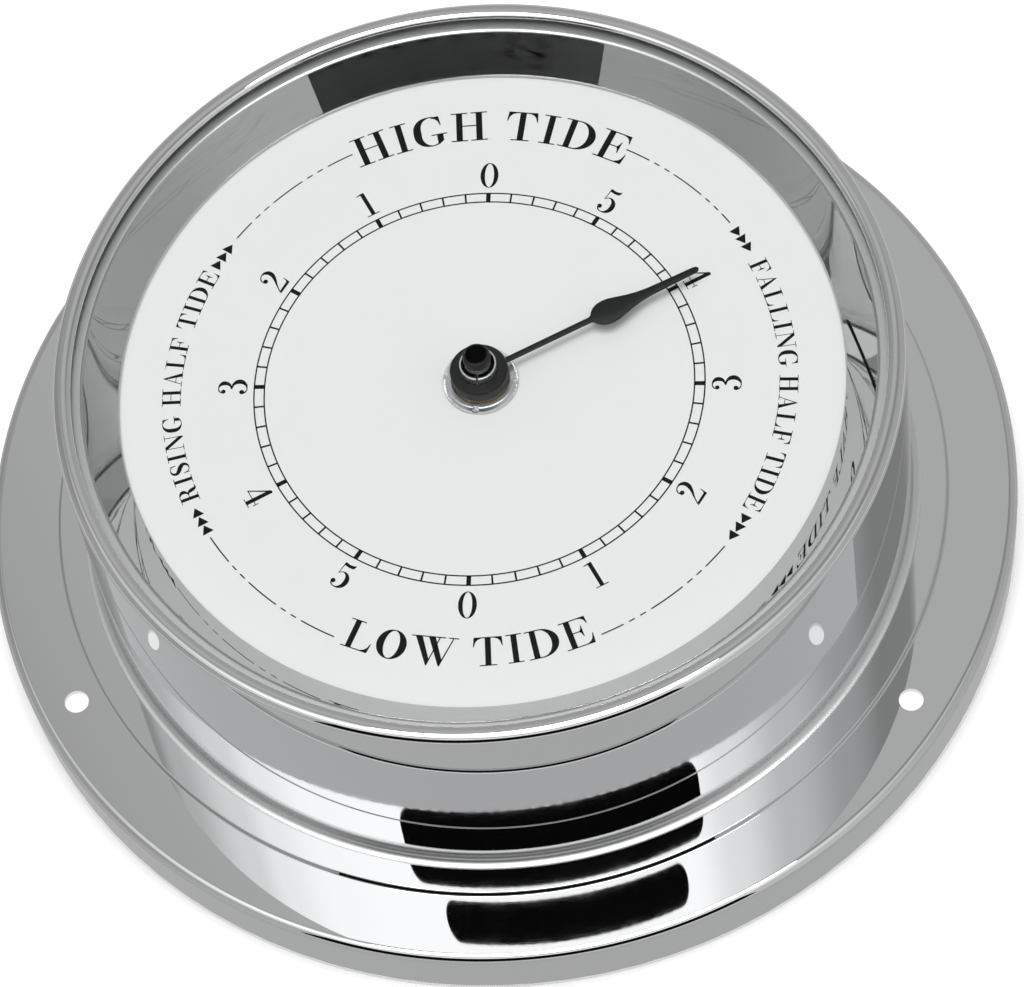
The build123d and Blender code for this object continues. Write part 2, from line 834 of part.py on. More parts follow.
step_phase = 0.0
train_wheel(
    "step_wheel",
    step_centre,
    (step_teeth, fourth_module, step_phase, step_wheel_bottom, step_wheel_thickness),
    (
        step_pinion_teeth,
        fourth_module,
        step_pinion_phase,
        fourth_wheel_bottom - (pinion_height - fourth_wheel_thickness) / 2,
    ),
)

# Rotor: a pinion and a magnet on one arbor
rotor_phase = meshing_phase(step_teeth, step_phase, rotor_direction, rotor_teeth)
magnet_bottom = room_top - rotor_magnet_down - rotor_magnet_height
with BuildPart() as rotor_pinion:
    toothed_disc(
        rotor_teeth,
        fourth_module,
        rotor_phase,
        rotor_centre,
        step_wheel_bottom - (rotor_pinion_height - step_wheel_thickness) / 2,
        rotor_pinion_height,
    )
    round_bar(pivot_radius, rotor_centre, lower_bearing_bottom + end_play, upper_bearing_top)
finish(rotor_pinion.part, "rotor_pinion")

with BuildPart() as rotor_magnet:
    round_bar(rotor_magnet_radius, rotor_centre, magnet_bottom, magnet_bottom + rotor_magnet_height)
    round_bar(
        pivot_radius,
        rotor_centre,
        magnet_bottom - overrun,
        magnet_bottom + rotor_magnet_height + overrun,
        Mode.SUBTRACT,
    )
finish(rotor_magnet.part, "rotor_magnet")

# Setting wheel and the knob that turns it from the back
setting_phase = meshing_phase(minute_teeth, minute_phase, setting_direction, setting_teeth)
knob_top = movement_back - knob_gap
knob_bottom = knob_top - knob_height
shaft_bottom = knob_top - knob_grip
with BuildPart() as setting_wheel:
    toothed_disc(
        setting_teeth,
        setting_module,
        setting_phase,
        setting_centre,
        minute_wheel_bottom - pinion_margin,
        minute_wheel_thickness + 2 * pinion_margin,
    )
    round_bar(setting_shaft_radius, setting_centre, shaft_bottom, minute_wheel_bottom)
    round_bar(arbor_body_radius, setting_centre, minute_wheel_top, room_top - end_play)
    round_bar(pivot_radius, setting_centre, room_top - end_play, front_bearing_top - end_play)
finish(setting_wheel.part, "setting_wheel")

with BuildPart() as setting_knob:
    with BuildSketch(Plane.XY.offset(knob_bottom)):
        with Locations(setting_centre):
            Circle(knob_radius)
            with PolarLocations(knob_radius, knob_flutes):
                Circle(knob_flute_radius, mode=Mode.SUBTRACT)
    extrude(amount=knob_height)
    round_bar(setting_shaft_radius, setting_centre, shaft_bottom, knob_top + overrun, Mode.SUBTRACT)
finish(setting_knob.part, "setting_knob")

# Stator: a thin plate with the rotor's hole
with BuildPart() as stator:
    block(
        (stator_low_x, rotor_centre[1] - stator_width / 2),
        (stator_high_x, rotor_centre[1] + stator_width / 2),
        stator_bottom,
        stator_top,
    )
    round_bar(rotor_hole_radius, rotor_centre, stator_bottom - overrun, stator_top + overrun, Mode.SUBTRACT)
    for place in core_pin_places:
        round_bar(core_pin_radius, place, stator_bottom - overrun, stator_top + overrun, Mode.SUBTRACT)
finish(stator.part, "stator")

# Coil core: a strip through the coil with a pad at each end on the stator
with BuildPart() as coil_core:
    block(
        (stator_low_x, coil_y - core_width / 2),
        (stator_high_x, coil_y + core_width / 2),
        stator_top,
        core_top,
    )
    for low_x in (stator_low_x, stator_high_x - core_pad_length):
        block(
            (low_x, rotor_centre[1] - stator_width / 2),
            (low_x + core_pad_length, coil_y),
            stator_top,
            core_top,
        )
    for place in core_pin_places:
        round_bar(core_pin_radius, place, stator_top - overrun, core_top + overrun, Mode.SUBTRACT)
finish(coil_core.part, "coil_core")

# Coil: a bobbin with two square flanges, and the winding between them
coil_axis_z = (stator_top + core_top) / 2
coil_start = Plane(origin=(coil_low_x, coil_y, coil_axis_z), x_dir=(0, 1, 0), z_dir=(1, 0, 0))
with BuildPart() as coil_bobbin:
    with BuildSketch(coil_start):
        Circle(bobbin_tube_radius)
    extrude(amount=coil_length)
    for start in (0, coil_length - bobbin_flange_thickness):
        with BuildSketch(coil_start.offset(start)):
            Rectangle(bobbin_flange, bobbin_flange)
        extrude(amount=bobbin_flange_thickness)
    with BuildSketch(coil_start.offset(-overrun)):
        Rectangle(core_width, core_top - stator_top)
    extrude(amount=coil_length + 2 * overrun, mode=Mode.SUBTRACT)
finish(coil_bobbin.part, "coil_bobbin")

with BuildPart() as coil_winding:
    with BuildSketch(coil_start.offset(bobbin_flange_thickness)):
        Circle(winding_radius)
        Circle(bobbin_tube_radius, mode=Mode.SUBTRACT)
    extrude(amount=coil_length - 2 * bobbin_flange_thickness)
finish(coil_winding.part, "coil_winding")

# Circuit board with its crystal and driver chip
with BuildPart() as circuit_board:
    block((board_left, board_low), (board_right, board_high), board_bottom, board_top)
finish(circuit_board.part, "circuit_board")

board_middle_x = (board_left + board_right) / 2
crystal_y = board_high - board_post_inset - board_post_radius - 2 * crystal_radius
crystal_start = Plane(
    origin=(board_middle_x - crystal_length / 2, crystal_y, board_top + crystal_radius),
    x_dir=(0, 1, 0),
    z_dir=(1, 0, 0),
)
with BuildPart() as quartz_crystal:
    with BuildSketch(crystal_start):
        Circle(crystal_radius)
    extrude(amount=crystal_length)
finish(quartz_crystal.part, "quartz_crystal")

chip_y = board_low + board_post_inset + board_post_radius + chip_radius
with BuildPart() as driver_chip:
    round_bar(chip_radius, (board_middle_x, chip_y), board_top, board_top + chip_height)
    fillet(driver_chip.edges().group_by(Axis.Z)[-1], chip_height / 2)
finish(driver_chip.part, "driver_chip")

# Battery: a round cell lying in its bay, positive end at +X
battery_low_x = -(battery_length + battery_nub_height) / 2
battery_high_x = battery_low_x + battery_length
nub_end_x = battery_high_x + battery_nub_height
battery_axis = Axis((0, battery_middle_y, battery_middle_z), (1, 0, 0))
with BuildPart() as battery:
    with BuildSketch(Plane.XZ.offset(-battery_middle_y)):
        with BuildLine():
            FilletPolyline(
                (battery_low_x, battery_middle_z),
                (battery_low_x, battery_middle_z + battery_radius),
                (battery_high_x, battery_middle_z + battery_radius),
                (battery_high_x, battery_middle_z),
                radius=battery_edge,
            )
            Line((battery_high_x, battery_middle_z), (battery_low_x, battery_middle_z))
        make_face()
    revolve(axis=battery_axis)
    with BuildSketch(
        Plane(
            origin=(battery_high_x, battery_middle_y, battery_middle_z), x_dir=(0, 1, 0), z_dir=(1, 0, 0)
        )
    ):
        Circle(battery_nub_radius)
    extrude(amount=battery_nub_height)
finish(battery.part, "battery")


def contact_plate(inner_x, outer_x):
    """The upright plate at one end of the bay and its tab to the wheel room."""
    low_x = min(inner_x, outer_x)
    high_x = max(inner_x, outer_x)
    block(
        (low_x, battery_middle_y - contact_width / 2),
        (high_x, battery_middle_y + contact_width / 2),
        battery_middle_z - contact_height / 2,
        battery_middle_z + contact_height / 2,
    )
    block(
        (low_x, battery_middle_y),
        (high_x, room_low + contact_tab_width),
        board_bottom,
        board_bottom + contact_tab_width,
    )


# Positive contact: a flat plate whose foot runs under the circuit board
plus_inner_x = nub_end_x + snug
plus_outer_x = room_half_width
with BuildPart() as contact_plus:
    contact_plate(plus_outer_x - contact_thickness, plus_outer_x)
    block(
        (plus_inner_x, battery_middle_y - battery_nub_radius),
        (plus_outer_x - contact_thickness, battery_middle_y + battery_nub_radius),
        battery_middle_z - battery_nub_radius,
        battery_middle_z + battery_nub_radius,
    )
    block(
        (plus_outer_x - contact_tab_width, room_low + contact_tab_width - contact_thickness),
        (plus_outer_x, board_low + contact_tab_width),
        board_bottom - contact_thickness,
        board_bottom,
    )
    block(
        (plus_outer_x - contact_thickness, room_low),
        (plus_outer_x, room_low + contact_tab_width),
        board_bottom - contact_thickness,
        board_bottom + contact_tab_width,
    )
finish(contact_plus.part, "contact_plus")

# Negative contact: a plate with a bowed leaf, and a strip along the wall to the circuit board
minus_outer_x = -room_half_width
minus_inner_x = minus_outer_x + contact_thickness
bow_reach = battery_low_x - snug - minus_inner_x
strip_foot_x = board_left + board_post_inset + board_post_radius + contact_tab_width
with BuildPart() as contact_minus:
    contact_plate(minus_outer_x, minus_inner_x)
    with BuildSketch(Plane.XY.offset(battery_middle_z - contact_width / 2)):
        with BuildLine():
            outer_bow = ThreePointArc(
                (minus_inner_x, battery_middle_y - contact_width / 2),
                (minus_inner_x + bow_reach, battery_middle_y),
                (minus_inner_x, battery_middle_y + contact_width / 2),
            )
            inner_bow = ThreePointArc(
                (minus_inner_x, battery_middle_y + contact_width / 2 - contact_bow),
                (minus_inner_x + bow_reach - contact_thickness, battery_middle_y),
                (minus_inner_x, battery_middle_y - contact_width / 2 + contact_bow),
            )
            Line(outer_bow @ 1, inner_bow @ 0)
            Line(inner_bow @ 1, outer_bow @ 0)
        make_face()
    extrude(amount=contact_width)
    block(
        (minus_outer_x, room_low),
        (strip_foot_x + contact_tab_width, room_low + contact_thickness),
        board_bottom - contact_thickness,
        board_bottom + contact_tab_width,
    )
    block(
        (strip_foot_x, room_low),
        (strip_foot_x + contact_tab_width, board_low + contact_tab_width),
        board_bottom - contact_thickness,
        board_bottom,
    )
finish(contact_minus.part, "contact_minus")
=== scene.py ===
import math

import bmesh
import bpy
from mathutils import Matrix, Vector


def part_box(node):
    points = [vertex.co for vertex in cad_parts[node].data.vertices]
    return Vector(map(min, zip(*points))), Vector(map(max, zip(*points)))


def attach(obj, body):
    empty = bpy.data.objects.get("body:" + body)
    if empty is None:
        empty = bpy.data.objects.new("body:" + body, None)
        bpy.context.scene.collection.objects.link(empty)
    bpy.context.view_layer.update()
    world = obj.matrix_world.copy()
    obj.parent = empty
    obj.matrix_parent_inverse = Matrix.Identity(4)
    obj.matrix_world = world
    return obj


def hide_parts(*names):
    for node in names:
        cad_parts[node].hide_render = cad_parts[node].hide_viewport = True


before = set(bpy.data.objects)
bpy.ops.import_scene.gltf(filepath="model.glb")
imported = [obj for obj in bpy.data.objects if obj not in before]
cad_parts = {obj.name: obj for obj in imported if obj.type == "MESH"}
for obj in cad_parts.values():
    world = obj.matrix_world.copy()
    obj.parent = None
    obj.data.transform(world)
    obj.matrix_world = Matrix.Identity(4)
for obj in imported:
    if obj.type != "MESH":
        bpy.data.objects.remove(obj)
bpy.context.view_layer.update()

# Tide clock. All sizes below are millimetres and become metres through MM.
# The origin is the centre of the flange's underside, +Z points out of the dial, +Y to high tide.
MM = 0.001


def low(node):
    return Vector(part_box(node)[0]) / MM


def high(node):
    return Vector(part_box(node)[1]) / MM


# Levels that the frame gives
CASE_TOP = high("case_body").z
FLANGE_RADIUS = high("case_body").x
GLASS_TOP = high("glass_lens").z
GLASS_RADIUS = high("glass_lens").x
GLASS_EDGE = low("glass_lens").z
VISOR_LOW = low("visor_ring").z
VISOR_RADIUS = high("visor_ring").x
DIAL_TOP = high("dial_plate").z
DIAL_BACK = low("dial_plate").z
DIAL_RADIUS = high("dial_plate").x
NUT_TOP = high("ring_nut").z
NUT_RADIUS = high("ring_nut").x
HAND_TOP = high("tide_hand").z
HAND_LOW = low("tide_hand").z
PIPE_TOP = high("tide_wheel").z
CAP_TOP = high("shaft_cap").z
CAP_LOW = CAP_TOP - 1.2

# Case sheet
SHEET = 0.8
FLANGE_HEIGHT = 8.8
FLANGE_ROUNDING = 1.3
STEP_RADIUS = 65.0
STEP_SLOPE = 0.2
STEP_HEIGHT = 0.8
STEP_EDGE = 0.15
DRUM_RADIUS = 59.8
COVE_RADIUS = 1.2
RIM_CROWN_RADIUS = 58.35
RIM_CROWN_DROP = 1.15
RIM_INNER_RADIUS = 57.15
RIM_INNER_DROP = 0.62
SCREW_CIRCLE = 69.0
SCREW_HOLE = 1.75
SCREW_ANGLES = (90.0, 210.0, 330.0)

# Reflector ring under the glass
VISOR_SHEET = 0.5
VISOR_LIP_RADIUS = 51.15
VISOR_LIP_TOP = VISOR_LOW + 0.5
VISOR_CONE_TOP_RADIUS = 55.9
VISOR_BEND = 0.3

# Glass
GLASS_THICKNESS = 1.0
GLASS_SEAT = 0.8
GLASS_RISE = GLASS_TOP - GLASS_EDGE - GLASS_THICKNESS
MIRROR_SHARE = 0.004

# Dial sheet
DIAL_BORE = 4.05
DIAL_EDGE = 0.12

# Dial print. It sits a little off the centre, as in the photograph.
PRINT_THICKNESS = 0.02
PRINT_RIGHT = -0.3
PRINT_UP = -0.5
SCALE_INNER = 30.35
SCALE_OUTER = 31.8
SCALE_LINE = 0.2
SCALE_DIVISIONS = 60
MINOR_TICK = 0.26
MAJOR_TICK = 0.63
DIGITS_CLOCKWISE = "054321054321"
DIGIT_HEIGHT = 4.1
DIGIT_FOOT = 32.8
HIGH_TIDE_CAP = 4.88
HIGH_TIDE_NEAR = 40.92
LOW_TIDE_CAP = 4.42
LOW_TIDE_NEAR = 39.9
HIGH_TIDE_ARC = (90.4, 53.3)
LOW_TIDE_ARC = (-89.9, 46.3)
RISING_ARC = (180.07, 50.1)
FALLING_ARC = (0.25, 54.3)
SIDE_CAP = 2.65
SIDE_FOOT = 42.2
ARROW_RADIUS = 43.5
ARROW_WIDTH = 1.7
ARROW_LENGTH = 1.42
ARROW_PITCH = 2.03
RULE_RADIUS = 43.62
RULE_WIDTH = 0.19

# Hand, nut and shaft
HAND_ANGLE = 29.0
BOSS_RADIUS = 4.1
BOSS_EDGE = 0.35
BLADE_LOW = 42.1
BLADE_THICKNESS = 0.4
BLADE_EDGE = 0.1
PIPE_RADIUS = 2.6
PIPE_BORE = 1.65
PIPE_SLIT = 0.3
PIPE_SLIT_DEPTH = 1.3
NUT_CHAMFER = 0.45
NUT_BORE = 4.0
NUT_SLOT_WIDTH = 0.9
NUT_SLOT_DEPTH = 0.7
NUT_SLOT_LENGTH = 0.75
NUT_SLOT_ANGLES = (-5.0, 85.0, 175.0, 265.0)
CAP_RADIUS = 1.95
CAP_EDGE = 0.45

# How finely round pieces are spun, and where an edge counts as sharp
FINE_TURNS = 360
GLASS_TURNS = 192
GLASS_STEPS = 24
DIAL_TURNS = 192
TURNS = 128
CROWN_STEPS = 14
SHARP_ANGLE = 32.0
BREAK_ANGLE = 38.0
SUPPORT_FROM = 0.6
SUPPORT_GAP = 0.05


def spot(x, y, z=0.0):
    return Vector((x, y, z)) * MM


def turn_about_axis(angle):
    return Matrix.Rotation(math.radians(angle), 4, "Z")


# Mesh helpers
def draw_line(bm, points):
    """Joins points by edges, one after the other."""
    verts = [bm.verts.new(point) for point in points]
    for start, end in zip(verts, verts[1:]):
        bm.edges.new((start, end))
    return verts


def spin_full(bm, turns):
    bmesh.ops.spin(bm, geom=bm.verts[:] + bm.edges[:], axis=(0, 0, 1), cent=(0, 0, 0),
                   angle=math.tau, steps=turns, use_merge=True)
    bmesh.ops.remove_doubles(bm, verts=bm.verts, dist=1e-6)
    bmesh.ops.recalc_face_normals(bm, faces=bm.faces)


def turn_verts(bm, verts, angle):
    bmesh.ops.rotate(bm, verts=verts, cent=(0, 0, 0), matrix=Matrix.Rotation(math.radians(angle), 3, "Z"))


def merge_into(bm, own):
    """Moves all of one builder into another."""
    mesh = bpy.data.meshes.new("part")
    own.to_mesh(mesh)
    own.free()
    bm.from_mesh(mesh)
    bpy.data.meshes.remove(mesh)


def thicken(bm, height):
    """Gives a flat shape its thickness."""
    raised = bmesh.ops.extrude_face_region(bm, geom=bm.faces[:], use_keep_orig=True)
    lifted = [item for item in raised["geom"] if isinstance(item, bmesh.types.BMVert)]
    bmesh.ops.translate(bm, vec=spot(0.0, 0.0, height), verts=lifted)
    bmesh.ops.recalc_face_normals(bm, faces=bm.faces)


def sharpen(mesh_builder):
    for face in mesh_builder.faces:
        face.smooth = True
    for edge in mesh_builder.edges:
        if len(edge.link_faces) == 2 and edge.calc_face_angle(0.0) > math.radians(SHARP_ANGLE):
            edge.smooth = False


def make_piece(name, builder, finish, body, replaced=()):
    sharpen(builder)
    mesh = bpy.data.meshes.new(name)
    builder.to_mesh(mesh)
    builder.free()
    mesh.materials.append(finish)
    piece = bpy.data.objects.new(name, mesh)
    bpy.context.scene.collection.objects.link(piece)
    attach(piece, body)
    if replaced:
        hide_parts(*replaced)


def turned(points, rounded=(), closed=True, turns=FINE_TURNS, segments=6):
    """A turned piece: a section of (radius, height) points, some corners rounded, spun about Z."""
    bm = bmesh.new()
    corners = draw_line(bm, [spot(radius, 0.0, height) for radius, height in points])
    if closed:
        bm.edges.new((corners[-1], corners[0]))
    for place, size in rounded:
        bmesh.ops.bevel(bm, geom=[corners[place]], offset=size * MM, segments=segments, profile=0.5,
                        affect="VERTICES", material=-1)
    add_supports(bm)
    spin_full(bm, turns)
    return bm


def add_supports(bm):
    """Splits the long lines of a section close to their ends, so that flats keep true reflections."""
    for edge in [edge for edge in bm.edges if edge.calc_length() > SUPPORT_FROM * MM]:
        first, second = edge.verts
        length = edge.calc_length()
        rest = bmesh.utils.edge_split(edge, first, SUPPORT_GAP * MM / length)[0]
        far_part = edge if second in edge.verts else rest
        bmesh.utils.edge_split(far_part, second, SUPPORT_GAP * MM / (length - SUPPORT_GAP * MM))


def cut_away(piece, cutters):
    """Cuts the cutter shapes out of a piece, and removes them."""
    for cutter in cutters:
        mesh = bpy.data.meshes.new("cutter")
        cutter.to_mesh(mesh)
        cutter.free()
        tool = bpy.data.objects.new("cutter", mesh)
        bpy.context.scene.collection.objects.link(tool)
        cut = piece.modifiers.new("cut", "BOOLEAN")
        cut.operation = "DIFFERENCE"
        cut.solver = "EXACT"
        cut.object = tool
        bpy.context.view_layer.update()
        shown = piece.evaluated_get(bpy.context.evaluated_depsgraph_get())
        old = piece.data
        piece.data = bpy.data.meshes.new_from_object(shown)
        piece.modifiers.remove(cut)
        bpy.data.objects.remove(tool)
        bpy.data.meshes.remove(mesh)
        bpy.data.meshes.remove(old)


def cut_builder(builder, cutters):
    """The same cut on a builder that is not yet a piece."""
    mesh = bpy.data.meshes.new("uncut")
    builder.to_mesh(mesh)
    builder.free()
    blank = bpy.data.objects.new("uncut", mesh)
    bpy.context.scene.collection.objects.link(blank)
    cut_away(blank, cutters)
    result = bmesh.new()
    result.from_mesh(blank.data)
    left = blank.data
    bpy.data.objects.remove(blank)
    bpy.data.meshes.remove(left)
    return result


def block(size, centre, spin_angle=0.0):
    bm = bmesh.new()
    place = turn_about_axis(spin_angle) @ Matrix.Translation(spot(*centre))
    scale = Matrix.Diagonal(Vector((size[0], size[1], size[2], 1.0 / MM))) * MM
    bmesh.ops.create_cube(bm, size=1.0, matrix=place @ scale)
    return bm


def rod(radius, bottom, top, x, y):
    bm = bmesh.new()
    place = Matrix.Translation(spot(x, y, (top + bottom) / 2))
    bmesh.ops.create_cone(bm, cap_ends=True, segments=64, radius1=radius * MM, radius2=radius * MM,
                          depth=(top - bottom) * MM, matrix=place)
    return bm


# Materials
def new_material(name):
    material = bpy.data.materials.new(name)
    material.use_nodes = True
    tree = material.node_tree
    return material, tree, tree.nodes["Principled BSDF"]


def bare_material(name):
    """A material with nothing but its output node."""
    material = bpy.data.materials.new(name)
    material.use_nodes = True
    tree = material.node_tree
    tree.nodes.clear()
    return material, tree, tree.nodes.new("ShaderNodeOutputMaterial")


def node(tree, kind, **values):
    made = tree.nodes.new(kind)
    for key, value in values.items():
        if key in made.inputs:
            made.inputs[key].default_value = value
        else:
            setattr(made, key, value)
    return made


def coordinates(tree, scale=(1.0, 1.0, 1.0)):
    source = tree.nodes.new("ShaderNodeTexCoord")
    mapping = tree.nodes.new("ShaderNodeMapping")
    mapping.inputs["Scale"].default_value = scale
    tree.links.new(source.outputs["Object"], mapping.inputs["Vector"])
    return mapping.outputs["Vector"]


def noise(tree, vector, scale, detail=3.0, roughness=0.5, distortion=0.0):
    made = node(tree, "ShaderNodeTexNoise", Scale=scale, Detail=detail, Roughness=roughness,
                Distortion=distortion)
    tree.links.new(vector, made.inputs["Vector"])
    return made.outputs["Fac"]


def spread(tree, value, lowest, highest, from_low=0.0, from_high=1.0):
    made = tree.nodes.new("ShaderNodeMapRange")
    made.inputs["From Min"].default_value = from_low
    made.inputs["From Max"].default_value = from_high
    made.inputs["To Min"].default_value = lowest
    made.inputs["To Max"].default_value = highest
    tree.links.new(value, made.inputs["Value"])
    return made.outputs["Result"]


def blend_colours(tree, share, first, second):
    made = tree.nodes.new("ShaderNodeMix")
    made.data_type = "RGBA"
    made.inputs["A"].default_value = (*first, 1.0)
    made.inputs["B"].default_value = (*second, 1.0)
    tree.links.new(share, made.inputs["Factor"])
    return made.outputs["Result"]


def add_bump(tree, shader, height, depth, strength):
    made = tree.nodes.new("ShaderNodeBump")
    made.inputs["Strength"].default_value = strength
    made.inputs["Distance"].default_value = depth
    tree.links.new(height, made.inputs["Height"])
    tree.links.new(made.outputs["Normal"], shader.inputs["Normal"])


def distance_from_axis(tree):
    source = tree.nodes.new("ShaderNodeTexCoord")
    flat = tree.nodes.new("ShaderNodeVectorMath")
    flat.operation = "MULTIPLY"
    flat.inputs[1].default_value = (1.0, 1.0, 0.0)
    tree.links.new(source.outputs["Object"], flat.inputs[0])
    reach = tree.nodes.new("ShaderNodeVectorMath")
    reach.operation = "LENGTH"
    tree.links.new(flat.outputs["Vector"], reach.inputs[0])
    return reach.outputs["Value"]


def polished_chrome(tint=(0.70, 0.705, 0.71)):
    """Chrome plate: sharp reflections, a faint haze, and a dull line where the mop misses the corner."""
    material, tree, shader = new_material("polished_chrome")
    shader.inputs["Metallic"].default_value = 1.0
    place = coordinates(tree)
    haze = noise(tree, place, 22.0, detail=2.0)
    colour = blend_colours(tree, haze, tint, tuple(0.97 * part for part in tint))
    tree.links.new(colour, shader.inputs["Base Color"])
    wipes = noise(tree, coordinates(tree, scale=(1.0, 1.0, 9.0)), 240.0, detail=4.0, roughness=0.6)
    gloss = spread(tree, wipes, 0.006, 0.018, 0.35, 0.75)
    split = tree.nodes.new("ShaderNodeSeparateXYZ")
    tree.links.new(place, split.inputs["Vector"])
    corner = tree.nodes.new("ShaderNodeCombineXYZ")
    tree.links.new(distance_from_axis(tree), corner.inputs["X"])
    tree.links.new(split.outputs["Z"], corner.inputs["Z"])
    away = tree.nodes.new("ShaderNodeVectorMath")
    away.operation = "DISTANCE"
    away.inputs[1].default_value = spot(DRUM_RADIUS, 0.0, FLANGE_HEIGHT + STEP_HEIGHT)
    tree.links.new(corner.outputs["Vector"], away.inputs[0])
    dull = spread(tree, away.outputs["Value"], 0.34, 0.0, COVE_RADIUS * MM, (COVE_RADIUS + 0.35) * MM)
    total = node(tree, "ShaderNodeMath", operation="ADD")
    tree.links.new(gloss, total.inputs[0])
    tree.links.new(dull, total.inputs[1])
    tree.links.new(total.outputs["Value"], shader.inputs["Roughness"])
    return material


def visor_plate():
    """Darker nickel chrome on the reflector, satin on its outer rim under the glass."""
    material, tree, shader = new_material("visor_nickel_chrome")
    shader.inputs["Metallic"].default_value = 1.0
    haze = noise(tree, coordinates(tree), 26.0, detail=2.0)
    tree.links.new(blend_colours(tree, haze, (0.52, 0.525, 0.52), (0.50, 0.505, 0.505)),
                   shader.inputs["Base Color"])
    radius = distance_from_axis(tree)
    satin = spread(tree, radius, 0.012, 0.4, (VISOR_CONE_TOP_RADIUS - 0.1) * MM,
                   (VISOR_CONE_TOP_RADIUS + 0.2) * MM)
    tree.links.new(satin, shader.inputs["Roughness"])
    return material


def clear_glass():
    """Thin clear glass: see-through with a mirror share that grows towards the edge of sight."""
    material, tree, output = bare_material("clear_glass")
    mixer = tree.nodes.new("ShaderNodeMixShader")
    through = node(tree, "ShaderNodeBsdfTransparent", Color=(0.985, 0.99, 0.988, 1.0))
    mirror = node(tree, "ShaderNodeBsdfGlossy", Color=(0.9, 0.9, 0.9, 1.0), Roughness=0.0)
    edge = node(tree, "ShaderNodeLayerWeight", Blend=0.5)
    steep = node(tree, "ShaderNodeMath", operation="POWER")
    steep.inputs[1].default_value = 5.0
    tree.links.new(edge.outputs["Facing"], steep.inputs[0])
    tree.links.new(spread(tree, steep.outputs["Value"], MIRROR_SHARE, 1.0), mixer.inputs["Fac"])
    smear = noise(tree, coordinates(tree), 30.0, detail=3.0)
    tree.links.new(spread(tree, smear, 0.0, 0.03, 0.4, 0.8), mirror.inputs["Roughness"])
    tree.links.new(through.outputs["BSDF"], mixer.inputs[1])
    tree.links.new(mirror.outputs["BSDF"], mixer.inputs[2])
    tree.links.new(mixer.outputs["Shader"], output.inputs["Surface"])
    return material


def white_lacquer():
    """Matt white stove lacquer on the dial sheet, with a fine orange peel."""
    material, tree, shader = new_material("white_dial_lacquer")
    place = coordinates(tree)
    mottling = noise(tree, place, 60.0, detail=3.0)
    tree.links.new(blend_colours(tree, mottling, (0.80, 0.80, 0.80), (0.785, 0.785, 0.788)),
                   shader.inputs["Base Color"])
    tree.links.new(spread(tree, mottling, 0.5, 0.62), shader.inputs["Roughness"])
    shader.inputs["Specular IOR Level"].default_value = 0.3
    add_bump(tree, shader, noise(tree, place, 1800.0, detail=2.0), 0.00001, strength=0.4)
    return material


def printing_ink():
    material, tree, shader = new_material("black_print")
    place = coordinates(tree)
    shades = blend_colours(tree, noise(tree, place, 900.0), (0.004, 0.004, 0.004), (0.007, 0.007, 0.007))
    tree.links.new(shades, shader.inputs["Base Color"])
    shader.inputs["Roughness"].default_value = 0.6
    shader.inputs["Specular IOR Level"].default_value = 0.08
    return material


def satin_black(name="satin_black_lacquer", shade=0.006, roughness=(0.4, 0.52)):
    """Satin black lacquer with a fine grain, a little worn grey on the high spots."""
    material, tree, shader = new_material(name)
    place = coordinates(tree)
    grain = noise(tree, place, 1400.0, detail=3.0)
    lighter = tuple(part * shade for part in (1.7, 1.75, 1.85))
    tree.links.new(blend_colours(tree, grain, (shade, shade, shade * 1.08), lighter),
                   shader.inputs["Base Color"])
    tree.links.new(spread(tree, grain, *roughness), shader.inputs["Roughness"])
    shader.inputs["Specular IOR Level"].default_value = 0.22
    add_bump(tree, shader, grain, 0.00002, strength=0.3)
    return material


def turned_metal(name, tint, roughness, ring_pitch=0.00012, ring_depth=0.000004):
    """Metal turned on a lathe: fine rings about the Z axis, in height and in roughness."""
    material, tree, shader = new_material(name)
    shader.inputs["Metallic"].default_value = 1.0
    rings = node(tree, "ShaderNodeTexNoise", noise_dimensions="1D", Scale=1.0 / ring_pitch, Detail=2.0)
    tree.links.new(distance_from_axis(tree), rings.inputs["W"])
    marks = noise(tree, coordinates(tree), 500.0, detail=3.0)
    shade = tuple(0.82 * part for part in tint)
    tree.links.new(blend_colours(tree, rings.outputs["Fac"], tint, shade), shader.inputs["Base Color"])
    tree.links.new(spread(tree, marks, *roughness), shader.inputs["Roughness"])
    add_bump(tree, shader, rings.outputs["Fac"], ring_depth, strength=0.8)
    return material


def rolled_metal(name, tint, roughness=(0.22, 0.4), direction=(1.0, 30.0, 30.0)):
    """Rolled or drawn metal: long fine streaks, a few dull spots."""
    material, tree, shader = new_material(name)
    shader.inputs["Metallic"].default_value = 1.0
    streaks = noise(tree, coordinates(tree, scale=direction), 90.0, detail=4.0, roughness=0.65)
    spots = noise(tree, coordinates(tree), 160.0, detail=4.0)
    shade = tuple(0.8 * part for part in tint)
    tree.links.new(blend_colours(tree, spots, tint, shade), shader.inputs["Base Color"])
    tree.links.new(spread(tree, streaks, *roughness), shader.inputs["Roughness"])
    add_bump(tree, shader, streaks, 0.00001, strength=0.4)
    return material


